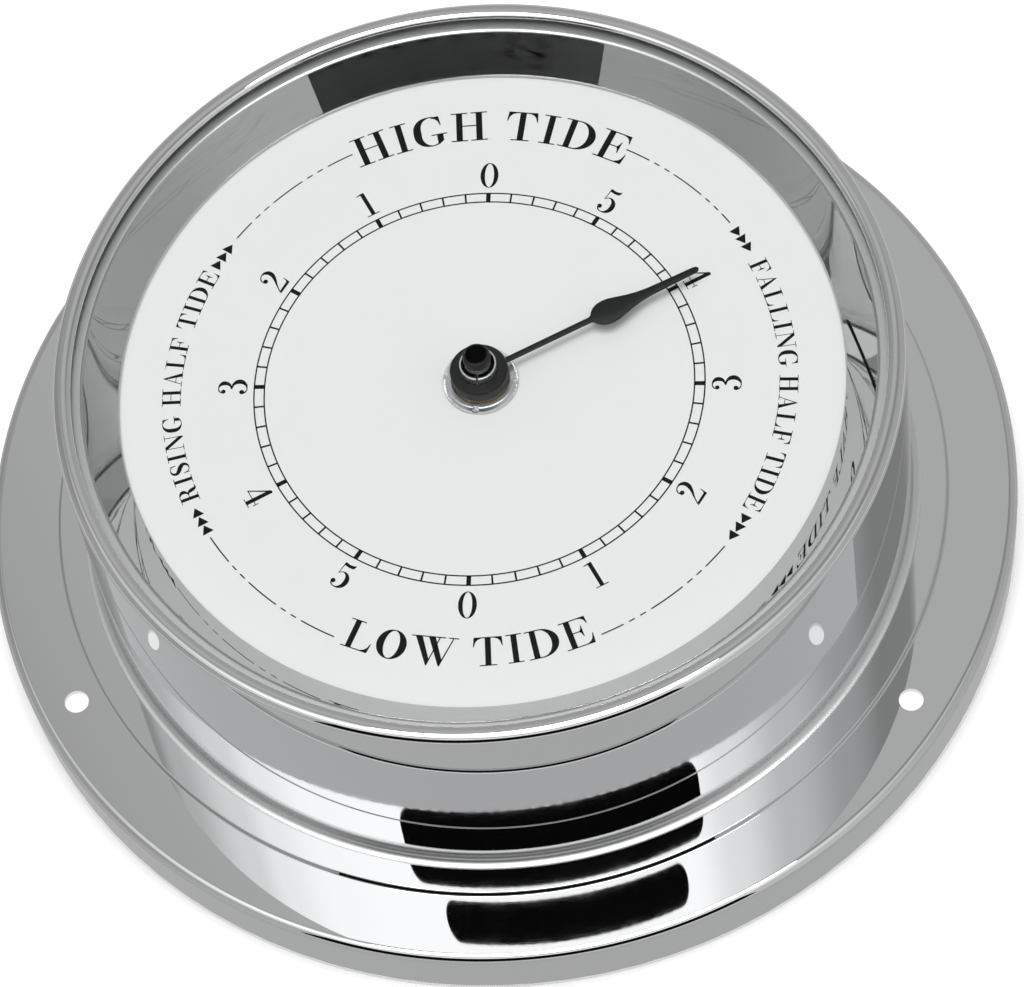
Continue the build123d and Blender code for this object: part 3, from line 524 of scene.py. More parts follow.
def moulded_plastic(name, colour, roughness=(0.42, 0.6), grain_depth=0.00003, glow=0.0):
    """Moulded plastic: fine eroded grain with slow flow shades."""
    material, tree, shader = new_material(name)
    flow = noise(tree, coordinates(tree), 35.0, detail=3.0, distortion=0.6)
    grain = noise(tree, coordinates(tree), 900.0, detail=4.0, roughness=0.6)
    lighter = tuple(min(1.0, part * 1.18 + 0.004) for part in colour)
    tree.links.new(blend_colours(tree, flow, colour, lighter), shader.inputs["Base Color"])
    tree.links.new(spread(tree, grain, *roughness), shader.inputs["Roughness"])
    if glow:
        shader.inputs["Subsurface Weight"].default_value = glow
        shader.inputs["Subsurface Scale"].default_value = 0.0008
    add_bump(tree, shader, grain, grain_depth, strength=0.5)
    return material


# Case and what closes it
def rim_crown():
    """Section of the rolled rim: up from the wall, over the crown and down to the glass."""
    points = []
    for count in range(CROWN_STEPS + 1):
        turn = math.pi / 2 * count / CROWN_STEPS
        points.append((RIM_CROWN_RADIUS + (DRUM_RADIUS - RIM_CROWN_RADIUS) * math.cos(turn),
                       CASE_TOP - RIM_CROWN_DROP * (1.0 - math.sin(turn))))
    for count in range(1, CROWN_STEPS + 1):
        turn = math.pi / 2 * count / CROWN_STEPS
        points.append((RIM_CROWN_RADIUS - (RIM_CROWN_RADIUS - RIM_INNER_RADIUS) * math.sin(turn),
                       CASE_TOP - RIM_INNER_DROP * (1.0 - math.cos(turn))))
    return points


def build_case(chrome):
    inner = DRUM_RADIUS - SHEET
    skirt = FLANGE_RADIUS - SHEET
    step_top = STEP_RADIUS - STEP_SLOPE
    face = FLANGE_HEIGHT + STEP_HEIGHT
    section = [
        (FLANGE_RADIUS, 0.0), (FLANGE_RADIUS, FLANGE_HEIGHT), (STEP_RADIUS, FLANGE_HEIGHT),
        (step_top, face), (DRUM_RADIUS, face), *rim_crown(), (RIM_CROWN_RADIUS, CASE_TOP - SHEET),
        (inner, CASE_TOP - SHEET), (inner, FLANGE_HEIGHT),
        (STEP_RADIUS - SHEET, FLANGE_HEIGHT), (STEP_RADIUS - SHEET, FLANGE_HEIGHT - SHEET),
        (skirt, FLANGE_HEIGHT - SHEET), (skirt, 0.0),
    ]
    corners = [(1, FLANGE_ROUNDING), (2, STEP_EDGE), (3, STEP_EDGE), (4, COVE_RADIUS),
               (len(section) - 2, FLANGE_ROUNDING - SHEET)]
    shell = turned(section, corners, segments=8)
    holes = []
    for angle in SCREW_ANGLES:
        direction = math.radians(angle)
        x, y = SCREW_CIRCLE * math.cos(direction), SCREW_CIRCLE * math.sin(direction)
        holes.append(rod(SCREW_HOLE, FLANGE_HEIGHT - 3 * SHEET, FLANGE_HEIGHT + SHEET, x, y))
    shell = cut_builder(shell, holes)
    make_piece("case_spun_shell", shell, chrome, "case", ["case_body"])


def build_visor(chrome):
    lip = VISOR_LIP_RADIUS
    slope = (GLASS_EDGE - VISOR_LIP_TOP) / (VISOR_CONE_TOP_RADIUS - lip)
    lean = math.hypot(1.0, slope)
    drop = VISOR_SHEET * lean
    section = [
        (lip, VISOR_LOW), (lip, VISOR_LIP_TOP), (VISOR_CONE_TOP_RADIUS, GLASS_EDGE),
        (VISOR_RADIUS, GLASS_EDGE), (VISOR_RADIUS, GLASS_EDGE - VISOR_SHEET),
        (VISOR_CONE_TOP_RADIUS + VISOR_SHEET * 0.4, GLASS_EDGE - VISOR_SHEET),
        (lip + VISOR_SHEET, VISOR_LIP_TOP - drop + VISOR_SHEET * slope), (lip + VISOR_SHEET, VISOR_LOW),
    ]
    ring = turned(section, [(1, VISOR_BEND), (2, VISOR_BEND), (0, 0.12)], segments=6)
    make_piece("visor_reflector", ring, chrome, "case", ["visor_ring"])


def build_glass(glass):
    seat = GLASS_RADIUS - GLASS_SEAT
    bow = (seat * seat + GLASS_RISE * GLASS_RISE) / (2 * GLASS_RISE)
    bm = bmesh.new()
    upper = []
    lower = []
    for count in range(GLASS_STEPS + 1):
        radius = seat * count / GLASS_STEPS
        height = GLASS_RISE - bow + math.sqrt(bow * bow - radius * radius)
        lower.append((radius, GLASS_EDGE + height))
        upper.append((radius, GLASS_EDGE + GLASS_THICKNESS + height))
    outline = upper + [(GLASS_RADIUS, GLASS_EDGE + GLASS_THICKNESS), (GLASS_RADIUS, GLASS_EDGE)]
    outline += lower[::-1]
    draw_line(bm, [spot(radius, 0.0, height) for radius, height in outline])
    spin_full(bm, GLASS_TURNS)
    make_piece("domed_glass", bm, glass, "case", ["glass_lens"])


def build_dial(lacquer):
    section = [(DIAL_BORE, DIAL_TOP), (DIAL_RADIUS, DIAL_TOP), (DIAL_RADIUS, DIAL_BACK),
               (DIAL_BORE, DIAL_BACK)]
    plate = turned(section, [(0, DIAL_EDGE), (1, DIAL_EDGE)], turns=DIAL_TURNS, segments=3)
    make_piece("dial_sheet", plate, lacquer, "case", ["dial_plate"])


# Dial lettering. A letter is drawn in shares of its cap height and has a width and a list of strokes.
STEM = 0.185
HAIR = 0.036
SERIF = 0.245


def flat_bar(bm, left, bottom, right, top):
    place = Matrix.Translation(((left + right) / 2, (bottom + top) / 2, 0.0))
    bmesh.ops.create_grid(bm, x_segments=1, y_segments=1, size=0.5,
                          matrix=place @ Matrix.Diagonal((right - left, top - bottom, 1.0, 1.0)))


def flat_shape(bm, *corners):
    bm.faces.new([bm.verts.new((x, y, 0.0)) for x, y in corners])


def flat_oval(bm, x, y, half_width, half_height):
    place = Matrix.Translation((x, y, 0.0)) @ Matrix.Diagonal((half_width, half_height, 1.0, 1.0))
    bmesh.ops.create_circle(bm, cap_ends=True, segments=32, radius=1.0, matrix=place)


def flat_ring(bm, x, y, half_width, half_height, side, top, keep_right_of=None):
    """An oval ring that is thick at its sides and thin at top and foot, or its right part."""
    own = bmesh.new()
    for inner in (False, True):
        width = half_width - side if inner else half_width
        height = half_height - top if inner else half_height
        place = Matrix.Translation((x, y, 0.0)) @ Matrix.Diagonal((width, height, 1.0, 1.0))
        bmesh.ops.create_circle(own, cap_ends=False, segments=48, radius=1.0, matrix=place)
    bmesh.ops.bridge_loops(own, edges=own.edges)
    if keep_right_of is not None:
        bmesh.ops.bisect_plane(own, geom=own.verts[:] + own.edges[:] + own.faces[:], dist=1e-6,
                               plane_co=(keep_right_of, 0, 0), plane_no=(1, 0, 0), clear_inner=True)
    merge_into(bm, own)


def flat_brush(bm, *path):
    """A stroke that swells and thins: (x, y, half width) places along its middle line."""
    curve = bpy.data.curves.new("brush", "CURVE")
    curve.dimensions = "3D"
    curve.bevel_depth = 1.0
    curve.bevel_resolution = 0
    curve.resolution_u = 8
    curve.use_fill_caps = True
    line = curve.splines.new("BEZIER")
    line.bezier_points.add(len(path) - 1)
    line.radius_interpolation = "CARDINAL"
    for point, (x, y, half_width) in zip(line.bezier_points, path):
        point.co = (x, y, 0.0)
        point.radius = half_width
        point.handle_left_type = "AUTO"
        point.handle_right_type = "AUTO"
    holder = bpy.data.objects.new("brush", curve)
    mesh = bpy.data.meshes.new_from_object(holder)
    mesh.transform(Matrix.Diagonal((1.0, 1.0, 0.0, 1.0)))
    own = bmesh.new()
    own.from_mesh(mesh)
    bmesh.ops.dissolve_degenerate(own, dist=1e-5, edges=own.edges)
    for face in [face for face in own.faces if face.calc_area() < 1e-9 or face.normal.z < 0.5]:
        own.faces.remove(face)
    loose = [vert for vert in own.verts if not vert.link_faces]
    bmesh.ops.delete(own, geom=loose, context="VERTS")
    merge_into(bm, own)
    bpy.data.meshes.remove(mesh)
    bpy.data.objects.remove(holder)
    bpy.data.curves.remove(curve)


def stem(bm, x, head=SERIF, foot=SERIF, thick=STEM):
    flat_bar(bm, x - thick / 2, 0.0, x + thick / 2, 1.0)
    if head:
        flat_bar(bm, x - head, 1.0 - HAIR, x + head, 1.0)
    if foot:
        flat_bar(bm, x - foot, 0.0, x + foot, HAIR)


def top_beak(bm, edge, drop, side=1.0):
    """The pointed serif that hangs from the end of a top arm; side -1 is a left end."""
    corners = [(0.0, 1.0), (0.03, 1.0 - drop), (0.005, 1.0 - drop), (-0.05, 1.0 - 0.5 * drop),
               (-0.12, 1.0 - 0.26 * drop), (-0.24, 1.0 - HAIR), (-0.24, 1.0)]
    flat_shape(bm, *[(edge + side * (x - 0.03), y) for x, y in corners])


def foot_beak(bm, edge, rise):
    """The pointed serif that stands on the end of a foot arm."""
    corners = [(0.0, 0.0), (0.03, rise), (0.005, rise), (-0.05, 0.5 * rise),
               (-0.12, 0.26 * rise), (-0.24, HAIR), (-0.24, 0.0)]
    flat_shape(bm, *[(edge + (x - 0.03), y) for x, y in corners])


def middle_arm(bm, start, end, height, reach=0.2):
    flat_bar(bm, start, height - HAIR / 2, end, height + HAIR / 2)
    flat_shape(bm, (end, height + reach), (end + 0.022, height + reach), (end + 0.022, height - reach),
               (end, height - reach), (end - 0.03, height - 0.45 * reach), (end - 0.09, height),
               (end - 0.03, height + 0.45 * reach))


def letter_a(bm):
    flat_shape(bm, (0.155, 0.0), (0.195, 0.0), (0.475, 0.90), (0.455, 0.97))
    flat_shape(bm, (0.435, 0.93), (0.465, 1.02), (0.49, 1.02), (0.865, 0.0), (0.65, 0.0))
    flat_bar(bm, 0.26, 0.32, 0.60, 0.32 + HAIR)
    flat_bar(bm, 0.0, 0.0, 0.35, HAIR)
    flat_bar(bm, 0.53, 0.0, 0.985, HAIR)


def letter_d(bm):
    stem(bm, 0.245)
    flat_bar(bm, 0.3, 0.0, 0.45, HAIR)
    flat_bar(bm, 0.3, 1.0 - HAIR, 0.45, 1.0)
    flat_ring(bm, 0.44, 0.5, 0.58, 0.5, 0.235, HAIR, keep_right_of=0.44)


def letter_e(bm):
    stem(bm, 0.245)
    flat_bar(bm, 0.3, 1.0 - HAIR, 0.85, 1.0)
    flat_bar(bm, 0.3, 0.0, 0.90, HAIR)
    top_beak(bm, 0.875, 0.27)
    middle_arm(bm, 0.3, 0.635, 0.52)
    foot_beak(bm, 0.935, 0.36)


def letter_f(bm):
    stem(bm, 0.245, foot=0.28)
    flat_bar(bm, 0.3, 1.0 - HAIR, 0.82, 1.0)
    top_beak(bm, 0.86, 0.31)
    middle_arm(bm, 0.3, 0.62, 0.5)


def letter_g(bm):
    flat_brush(bm, (0.80, 0.82, 0.018), (0.68, 0.965, 0.019), (0.47, 1.0, 0.022), (0.20, 0.84, 0.085),
               (0.118, 0.5, 0.118), (0.20, 0.16, 0.085), (0.47, 0.0, 0.022), (0.68, 0.035, 0.024),
               (0.77, 0.10, 0.03))
    top_beak(bm, 0.845, 0.33)
    flat_shape(bm, (0.68, 0.38), (0.865, 0.38), (0.865, 0.13), (0.80, 0.08), (0.72, 0.02), (0.68, 0.04))
    flat_bar(bm, 0.52, 0.38 - HAIR, 0.99, 0.38)


def letter_h(bm):
    stem(bm, 0.245)
    stem(bm, 0.835)
    flat_bar(bm, 0.3, 0.515, 0.8, 0.515 + HAIR)


def letter_i(bm):
    stem(bm, 0.245)


def letter_l(bm):
    stem(bm, 0.245)
    flat_bar(bm, 0.3, 0.0, 0.88, HAIR)
    foot_beak(bm, 0.915, 0.34)


def letter_n(bm):
    flat_bar(bm, 0.185, 0.0, 0.185 + HAIR, 0.97)
    flat_bar(bm, 0.865, 0.1, 0.865 + HAIR, 1.0)
    flat_shape(bm, (0.12, 1.0), (0.335, 1.0), (0.901, 0.2), (0.901, -0.01), (0.83, -0.01))
    flat_bar(bm, 0.0, 1.0 - HAIR, 0.28, 1.0)
    flat_bar(bm, 0.70, 1.0 - HAIR, 1.06, 1.0)
    flat_bar(bm, 0.02, 0.0, 0.39, HAIR)


def letter_o(bm):
    flat_ring(bm, 0.475, 0.5, 0.475, 0.515, 0.235, HAIR)


def letter_r(bm):
    stem(bm, 0.245)
    flat_bar(bm, 0.3, 1.0 - HAIR, 0.45, 1.0)
    flat_bar(bm, 0.3, 0.47, 0.5, 0.47 + HAIR)
    flat_ring(bm, 0.44, 0.735, 0.38, 0.265, 0.2, HAIR, keep_right_of=0.44)
    flat_brush(bm, (0.46, 0.487, 0.018), (0.60, 0.45, 0.06), (0.69, 0.28, 0.098), (0.76, 0.08, 0.08),
               (0.88, 0.012, 0.03), (1.01, 0.05, 0.014))


def letter_s(bm):
    flat_brush(bm, (0.615, 0.74, 0.016), (0.55, 0.92, 0.02), (0.36, 1.0, 0.024), (0.16, 0.91, 0.06),
               (0.12, 0.73, 0.082), (0.24, 0.58, 0.105), (0.46, 0.45, 0.115), (0.60, 0.28, 0.092),
               (0.55, 0.09, 0.062), (0.34, 0.0, 0.024), (0.16, 0.08, 0.02), (0.09, 0.28, 0.016))
    flat_shape(bm, (0.59, 1.0), (0.615, 1.0), (0.64, 0.67), (0.61, 0.67), (0.57, 0.83))
    flat_shape(bm, (0.10, 0.0), (0.075, 0.0), (0.06, 0.35), (0.09, 0.35), (0.13, 0.17))


def letter_t(bm):
    stem(bm, 0.465, head=0.42, foot=0.27)
    top_beak(bm, 0.93, 0.33)
    top_beak(bm, 0.0, 0.33, side=-1.0)


def letter_w(bm):
    flat_shape(bm, (0.11, 1.0), (0.325, 1.0), (0.63, 0.2), (0.585, -0.02), (0.555, -0.02))
    flat_shape(bm, (0.565, 0.03), (0.59, -0.02), (0.905, 0.98), (0.865, 0.98))
    flat_shape(bm, (0.52, 1.0), (0.735, 1.0), (1.04, 0.2), (0.98, -0.02), (0.95, -0.02))
    flat_shape(bm, (0.955, 0.03), (0.985, -0.02), (1.335, 0.98), (1.295, 0.98))
    flat_bar(bm, 0.0, 1.0 - HAIR, 1.07, 1.0)
    flat_bar(bm, 1.15, 1.0 - HAIR, 1.48, 1.0)


def digit_0(bm):
    flat_ring(bm, 0.315, 0.5, 0.315, 0.51, 0.155, 0.03)


def digit_1(bm):
    stem(bm, 0.27, head=0.0, foot=0.235, thick=0.145)
    flat_shape(bm, (0.04, 0.945), (0.04, 0.97), (0.2, 1.0), (0.3425, 1.0), (0.24, 0.95), (0.2, 0.945))


def digit_2(bm):
    flat_oval(bm, 0.15, 0.735, 0.085, 0.08)
    flat_brush(bm, (0.075, 0.74, 0.016), (0.11, 0.90, 0.022), (0.29, 0.99, 0.022), (0.46, 0.90, 0.065),
               (0.50, 0.74, 0.078), (0.42, 0.55, 0.058), (0.22, 0.30, 0.026), (0.05, 0.06, 0.018))
    flat_shape(bm, (0.02, 0.0), (0.565, 0.0), (0.60, 0.28), (0.575, 0.28), (0.545, 0.16), (0.50, 0.10),
               (0.42, 0.10), (0.10, 0.085), (0.02, 0.03))


def digit_3(bm):
    flat_oval(bm, 0.125, 0.82, 0.078, 0.078)
    flat_oval(bm, 0.10, 0.185, 0.085, 0.085)
    flat_brush(bm, (0.055, 0.82, 0.016), (0.13, 0.955, 0.022), (0.27, 0.99, 0.02), (0.42, 0.90, 0.062),
               (0.455, 0.77, 0.078), (0.38, 0.61, 0.045), (0.22, 0.54, 0.018))
    flat_brush(bm, (0.22, 0.54, 0.018), (0.42, 0.47, 0.05), (0.515, 0.28, 0.085), (0.43, 0.09, 0.058),
               (0.26, 0.01, 0.02), (0.10, 0.06, 0.022), (0.03, 0.19, 0.018))


def digit_4(bm):
    flat_shape(bm, (0.36, 0.0), (0.505, 0.0), (0.505, 0.97), (0.47, 1.0), (0.41, 0.99), (0.36, 0.93))
    flat_shape(bm, (0.0, 0.27), (0.045, 0.27), (0.44, 0.93), (0.41, 0.99))
    flat_bar(bm, 0.0, 0.26, 0.64, 0.29)
    flat_shape(bm, (0.615, 0.375), (0.655, 0.375), (0.645, 0.275), (0.655, 0.175), (0.615, 0.175),
               (0.625, 0.275))
    flat_bar(bm, 0.25, 0.0, 0.62, 0.03)


def digit_5(bm):
    flat_oval(bm, 0.095, 0.185, 0.083, 0.083)
    flat_brush(bm, (0.10, 0.53, 0.014), (0.25, 0.62, 0.022), (0.43, 0.54, 0.062), (0.505, 0.32, 0.086),
               (0.42, 0.09, 0.058), (0.25, 0.01, 0.02), (0.10, 0.05, 0.022), (0.03, 0.18, 0.018))
    flat_shape(bm, (0.09, 0.50), (0.115, 0.53), (0.145, 0.95), (0.11, 0.97))
    flat_shape(bm, (0.11, 0.98), (0.15, 0.985), (0.29, 0.955), (0.44, 0.975), (0.50, 1.02), (0.525, 1.0),
               (0.50, 0.90), (0.44, 0.855), (0.29, 0.845), (0.12, 0.87))


LETTERS = {
    "A": (0.97, letter_a), "D": (1.02, letter_d), "E": (0.93, letter_e), "F": (0.86, letter_f),
    "G": (0.99, letter_g), "H": (1.08, letter_h), "I": (0.49, letter_i), "L": (0.91, letter_l),
    "N": (1.06, letter_n), "O": (0.95, letter_o), "R": (1.02, letter_r), "S": (0.72, letter_s),
    "T": (0.93, letter_t), "W": (1.48, letter_w),
    "0": (0.63, digit_0), "1": (0.51, digit_1), "2": (0.61, digit_2), "3": (0.60, digit_3),
    "4": (0.66, digit_4), "5": (0.60, digit_5),
}


def add_sign(bm, sign, cap, foot_radius, angle, outward=True):
    """Sets one letter on the dial, its foot at a radius, its head outward or towards the centre."""
    width, draw = LETTERS[sign]
    own = bmesh.new()
    draw(own)
    size = cap * MM
    turn = angle - 90.0 if outward else angle + 90.0
    distance = foot_radius if outward else -foot_radius
    place = (turn_about_axis(turn) @ Matrix.Translation(spot(0.0, distance, DIAL_TOP))
             @ Matrix.Diagonal((size, size, size, 1.0)) @ Matrix.Translation((-width / 2, 0.0, 0.0)))
    bmesh.ops.transform(own, matrix=place, verts=own.verts)
    merge_into(bm, own)


def add_words(bm, words, cap, foot_radius, centre, span, outward=True, word_gap=4.0):
    """Sets words on an arc so that they fill a span of degrees about its middle."""
    middle = foot_radius + cap / 2 if outward else foot_radius - cap / 2
    length = math.radians(span) * middle / cap
    widths = sum(LETTERS[sign][0] for sign in words if sign != " ")
    gaps = sum(word_gap - 1.0 if sign == " " else 1.0 for sign in words[:-1])
    gaps += sum(-1.0 for sign in words if sign == " ")
    gap = (length - widths) / gaps
    along = -length / 2
    for sign in words:
        if sign == " ":
            along += (word_gap - 1.0) * gap
            continue
        width = LETTERS[sign][0]
        turn = math.degrees((along + width / 2) * cap / middle)
        add_sign(bm, sign, cap, foot_radius, centre - turn if outward else centre + turn, outward)
        along += width + gap


def add_arc(bm, inner, outer, start, end, step=1.0):
    """A flat printed arc between two radii, from one angle to another."""
    count = max(1, int(abs(end - start) / step + 0.5))
    edge = [bm.verts.new(spot(inner, 0.0, DIAL_TOP)), bm.verts.new(spot(outer, 0.0, DIAL_TOP))]
    line = bm.edges.new(edge)
    turn_verts(bm, edge, start)
    bmesh.ops.spin(bm, geom=edge + [line], axis=(0, 0, 1), cent=(0, 0, 0),
                   angle=math.radians(end - start), steps=count)


def add_arrow(bm, angle):
    """A small arrowhead that points clockwise along the tide ring."""
    half = ARROW_WIDTH / 2
    corners = [spot(ARROW_RADIUS - half, 0.0, DIAL_TOP), spot(ARROW_RADIUS + half, 0.0, DIAL_TOP),
               spot(ARROW_RADIUS, -ARROW_LENGTH, DIAL_TOP)]
    points = [bm.verts.new(corner) for corner in corners]
    bm.faces.new(points)
    turn_verts(bm, points, angle)


def thicken_print(bm):
    """Gives flat print its thickness, on top of the lacquer."""
    for face in bm.faces:
        if face.normal.z < 0:
            face.normal_flip()
    bmesh.ops.translate(bm, vec=spot(PRINT_RIGHT, PRINT_UP, 0.002), verts=bm.verts)
    thicken(bm, PRINT_THICKNESS)


def build_scale(ink):
    bm = bmesh.new()
    for radius in (SCALE_INNER, SCALE_OUTER):
        add_arc(bm, radius - SCALE_LINE / 2, radius + SCALE_LINE / 2, 0.0, 360.0, step=1.5)
    for division in range(SCALE_DIVISIONS):
        angle = 360.0 * division / SCALE_DIVISIONS
        width = MAJOR_TICK if division % 5 == 0 else MINOR_TICK
        half = math.degrees(width / 2 / SCALE_INNER)
        add_arc(bm, SCALE_INNER, SCALE_OUTER, angle - half, angle + half)
    bmesh.ops.remove_doubles(bm, verts=bm.verts, dist=1e-7)
    thicken_print(bm)
    make_piece("dial_scale_print", bm, ink, "case")


def build_digits(ink):
    bm = bmesh.new()
    for place, digit in enumerate(DIGITS_CLOCKWISE):
        angle = 90.0 - 30.0 * place
        outward = place in (0, 1, 2, 9, 10, 11)
        foot = DIGIT_FOOT if outward else DIGIT_FOOT + DIGIT_HEIGHT
        add_sign(bm, digit, DIGIT_HEIGHT, foot, angle, outward)
    thicken_print(bm)
    make_piece("dial_figures_print", bm, ink, "case")


def build_words(ink):
    bm = bmesh.new()
    add_words(bm, "HIGH TIDE", HIGH_TIDE_CAP, HIGH_TIDE_NEAR, *HIGH_TIDE_ARC)
    add_words(bm, "LOW TIDE", LOW_TIDE_CAP, LOW_TIDE_NEAR + LOW_TIDE_CAP, *LOW_TIDE_ARC, outward=False)
    thicken_print(bm)
    make_piece("tide_words_print", bm, ink, "case")
    bm = bmesh.new()
    add_words(bm, "RISING HALF TIDE", SIDE_CAP, SIDE_FOOT, *RISING_ARC, word_gap=4.6)
    add_words(bm, "FALLING HALF TIDE", SIDE_CAP, SIDE_FOOT, *FALLING_ARC, word_gap=4.6)
    thicken_print(bm)
    make_piece("half_tide_words_print", bm, ink, "case")


def build_rules(ink):
    """The dash, dot, dot rules and the arrowheads between the words."""
    bm = bmesh.new()
    rules = [
        (145.5, 141.2), (140.1, 138.85), (137.8, 136.5), (135.4, 128.4), (127.3, 126.05),
        (125.0, 123.75), (122.65, 117.4), (63.3, 58.2), (57.1, 55.9), (54.75, 53.55), (52.5, 45.5),
        (44.4, 43.2), (42.0, 40.8), (39.7, 37.2), (-36.4, -41.75), (-42.8, -44.1), (-45.1, -46.4), (-47.5, -54.6),
        (-55.75, -56.95), (-58.1, -59.3), (-60.4, -64.8), (-114.6, -121.6), (-122.75, -123.95),
        (-125.1, -126.3), (-127.4, -134.4), (-135.5, -136.8), (-137.9, -139.1), (-140.2, -146.5),
    ]
    for start, end in rules:
        add_arc(bm, RULE_RADIUS - RULE_WIDTH / 2, RULE_RADIUS + RULE_WIDTH / 2, end, start)
    for first in (153.0, 35.6, -29.05, -147.5):
        for place in range(3):
            add_arrow(bm, first - ARROW_PITCH * place)
    thicken_print(bm)
    make_piece("tide_rules_print", bm, ink, "case")


# Hand, nut and shaft
def build_hand(black):
    boss_section = [(PIPE_RADIUS, HAND_LOW), (BOSS_RADIUS, HAND_LOW), (BOSS_RADIUS, HAND_TOP),
                    (PIPE_RADIUS, HAND_TOP)]
    boss = turned(boss_section, [(1, 0.25), (2, BOSS_EDGE), (3, 0.1)], turns=TURNS, segments=5)
    make_piece("hand_boss", boss, black, "hand", ["tide_hand"])
    outline = [(3.2, 0.425), (17.4, 0.425), (17.75, 0.55), (18.1, 1.05), (18.6, 1.5), (19.3, 1.83),
               (20.2, 1.95), (21.2, 1.86), (22.4, 1.52), (23.8, 1.12), (25.2, 0.83), (26.8, 0.66),
               (29.0, 0.58), (31.5, 0.52), (33.9, 0.475), (34.45, 0.36), (34.7, 0.0)]
    bm = bmesh.new()
    draw_line(bm, [spot(x, y, BLADE_LOW) for x, y in outline])
    copies = bmesh.ops.duplicate(bm, geom=bm.verts[:] + bm.edges[:])
    other = [item for item in copies["geom"] if isinstance(item, bmesh.types.BMVert)]
    bmesh.ops.scale(bm, vec=(1, -1, 1), verts=other)
    bmesh.ops.remove_doubles(bm, verts=bm.verts, dist=1e-7)
    bmesh.ops.contextual_create(bm, geom=bm.edges[:])
    loose_ends = [vert for vert in bm.verts if len(vert.link_edges) == 1]
    if loose_ends:
        bmesh.ops.contextual_create(bm, geom=loose_ends)
        bmesh.ops.holes_fill(bm, edges=bm.edges)
    thicken(bm, BLADE_THICKNESS)
    rim = [edge for edge in bm.edges if edge.calc_face_angle(0.0) > math.radians(60)
           and abs(edge.verts[0].co.z - edge.verts[1].co.z) < 1e-7]
    bmesh.ops.bevel(bm, geom=rim, offset=BLADE_EDGE * MM, segments=2, profile=0.5, affect="EDGES",
                    material=-1)
    bmesh.ops.transform(bm, matrix=turn_about_axis(HAND_ANGLE), verts=bm.verts)
    make_piece("hand_blade", bm, black, "hand", ["tide_hand"])


def build_nut(nickel):
    foot = DIAL_TOP
    section = [(NUT_BORE, foot), (NUT_RADIUS, foot), (NUT_RADIUS, NUT_TOP - NUT_CHAMFER),
               (NUT_RADIUS - NUT_CHAMFER, NUT_TOP), (NUT_BORE, NUT_TOP)]
    nut = turned(section, [(2, 0.08), (3, 0.08), (4, 0.15)], turns=TURNS, segments=3)
    slots = []
    for angle in NUT_SLOT_ANGLES:
        size = (2 * NUT_SLOT_LENGTH, NUT_SLOT_WIDTH, 2 * NUT_SLOT_DEPTH)
        slots.append(block(size, (NUT_RADIUS, 0.0, NUT_TOP), angle))
    nut = cut_builder(nut, slots)
    make_piece("dial_ring_nut", nut, nickel, "case", ["ring_nut"])


def build_pipe(nickel):
    """The split hand pipe above the dial; the wheel below it stays the frame's own node."""
    start = HAND_TOP - 0.6
    section = [(PIPE_BORE, start), (PIPE_RADIUS, start), (PIPE_RADIUS, PIPE_TOP), (PIPE_BORE, PIPE_TOP)]
    pipe = turned(section, [(2, 0.22), (3, 0.15)], turns=TURNS, segments=4)
    slit = block((PIPE_SLIT, PIPE_RADIUS * 1.4, 2 * PIPE_SLIT_DEPTH), (0.0, -PIPE_RADIUS, PIPE_TOP))
    pipe = cut_builder(pipe, [slit])
    make_piece("hand_pipe_end", pipe, nickel, "hand")


def build_cap(black):
    section = [(0.0, CAP_LOW), (CAP_RADIUS, CAP_LOW), (CAP_RADIUS, CAP_TOP), (0.0, CAP_TOP)]
    cap = turned(section, [(2, CAP_EDGE), (1, 0.12)], closed=False, turns=TURNS, segments=6)
    make_piece("shaft_end_cap", cap, black, "arbor")


# Frame nodes that keep their shape: a small edge break and a finish
def dress_node(name, finish, edge):
    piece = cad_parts[name]
    piece.data.materials.clear()
    piece.data.materials.append(finish)
    weld = piece.modifiers.new("weld", "WELD")
    weld.merge_threshold = 0.000002
    if edge:
        bevel = piece.modifiers.new("edge break", "BEVEL")
        bevel.width = edge * MM
        bevel.segments = 2
        bevel.limit_method = "ANGLE"
        bevel.angle_limit = math.radians(BREAK_ANGLE)


# Studio: floor, tent, cards, lamps and camera
CAMERA_PLACE = Vector((0.07213, -0.35203, 0.64321))
CAMERA_TURN = Matrix(((0.995292, 0.006465, 0.09671), (0.041162, 0.875137, -0.482122),
                      (-0.087751, 0.483833, 0.87075)))
CAMERA_LENS = 175.78
TENT_RADIUS = 1.25
TENT_LIGHT = 1.9
CARD_STRETCH = 6.0
CARD_ROWS = 6
FLOOR_LEVEL = -0.15
STAGE_SHEET_LEVEL = -0.1
OVERHEAD_WATTS = 4.6
OVERHEAD_SIZE = 0.5


def glow_material(name, strength):
    material, tree, output = bare_material(name)
    light = node(tree, "ShaderNodeEmission", Color=(1.0, 1.0, 1.0, 1.0), Strength=strength)
    tree.links.new(light.outputs["Emission"], output.inputs["Surface"])
    return material


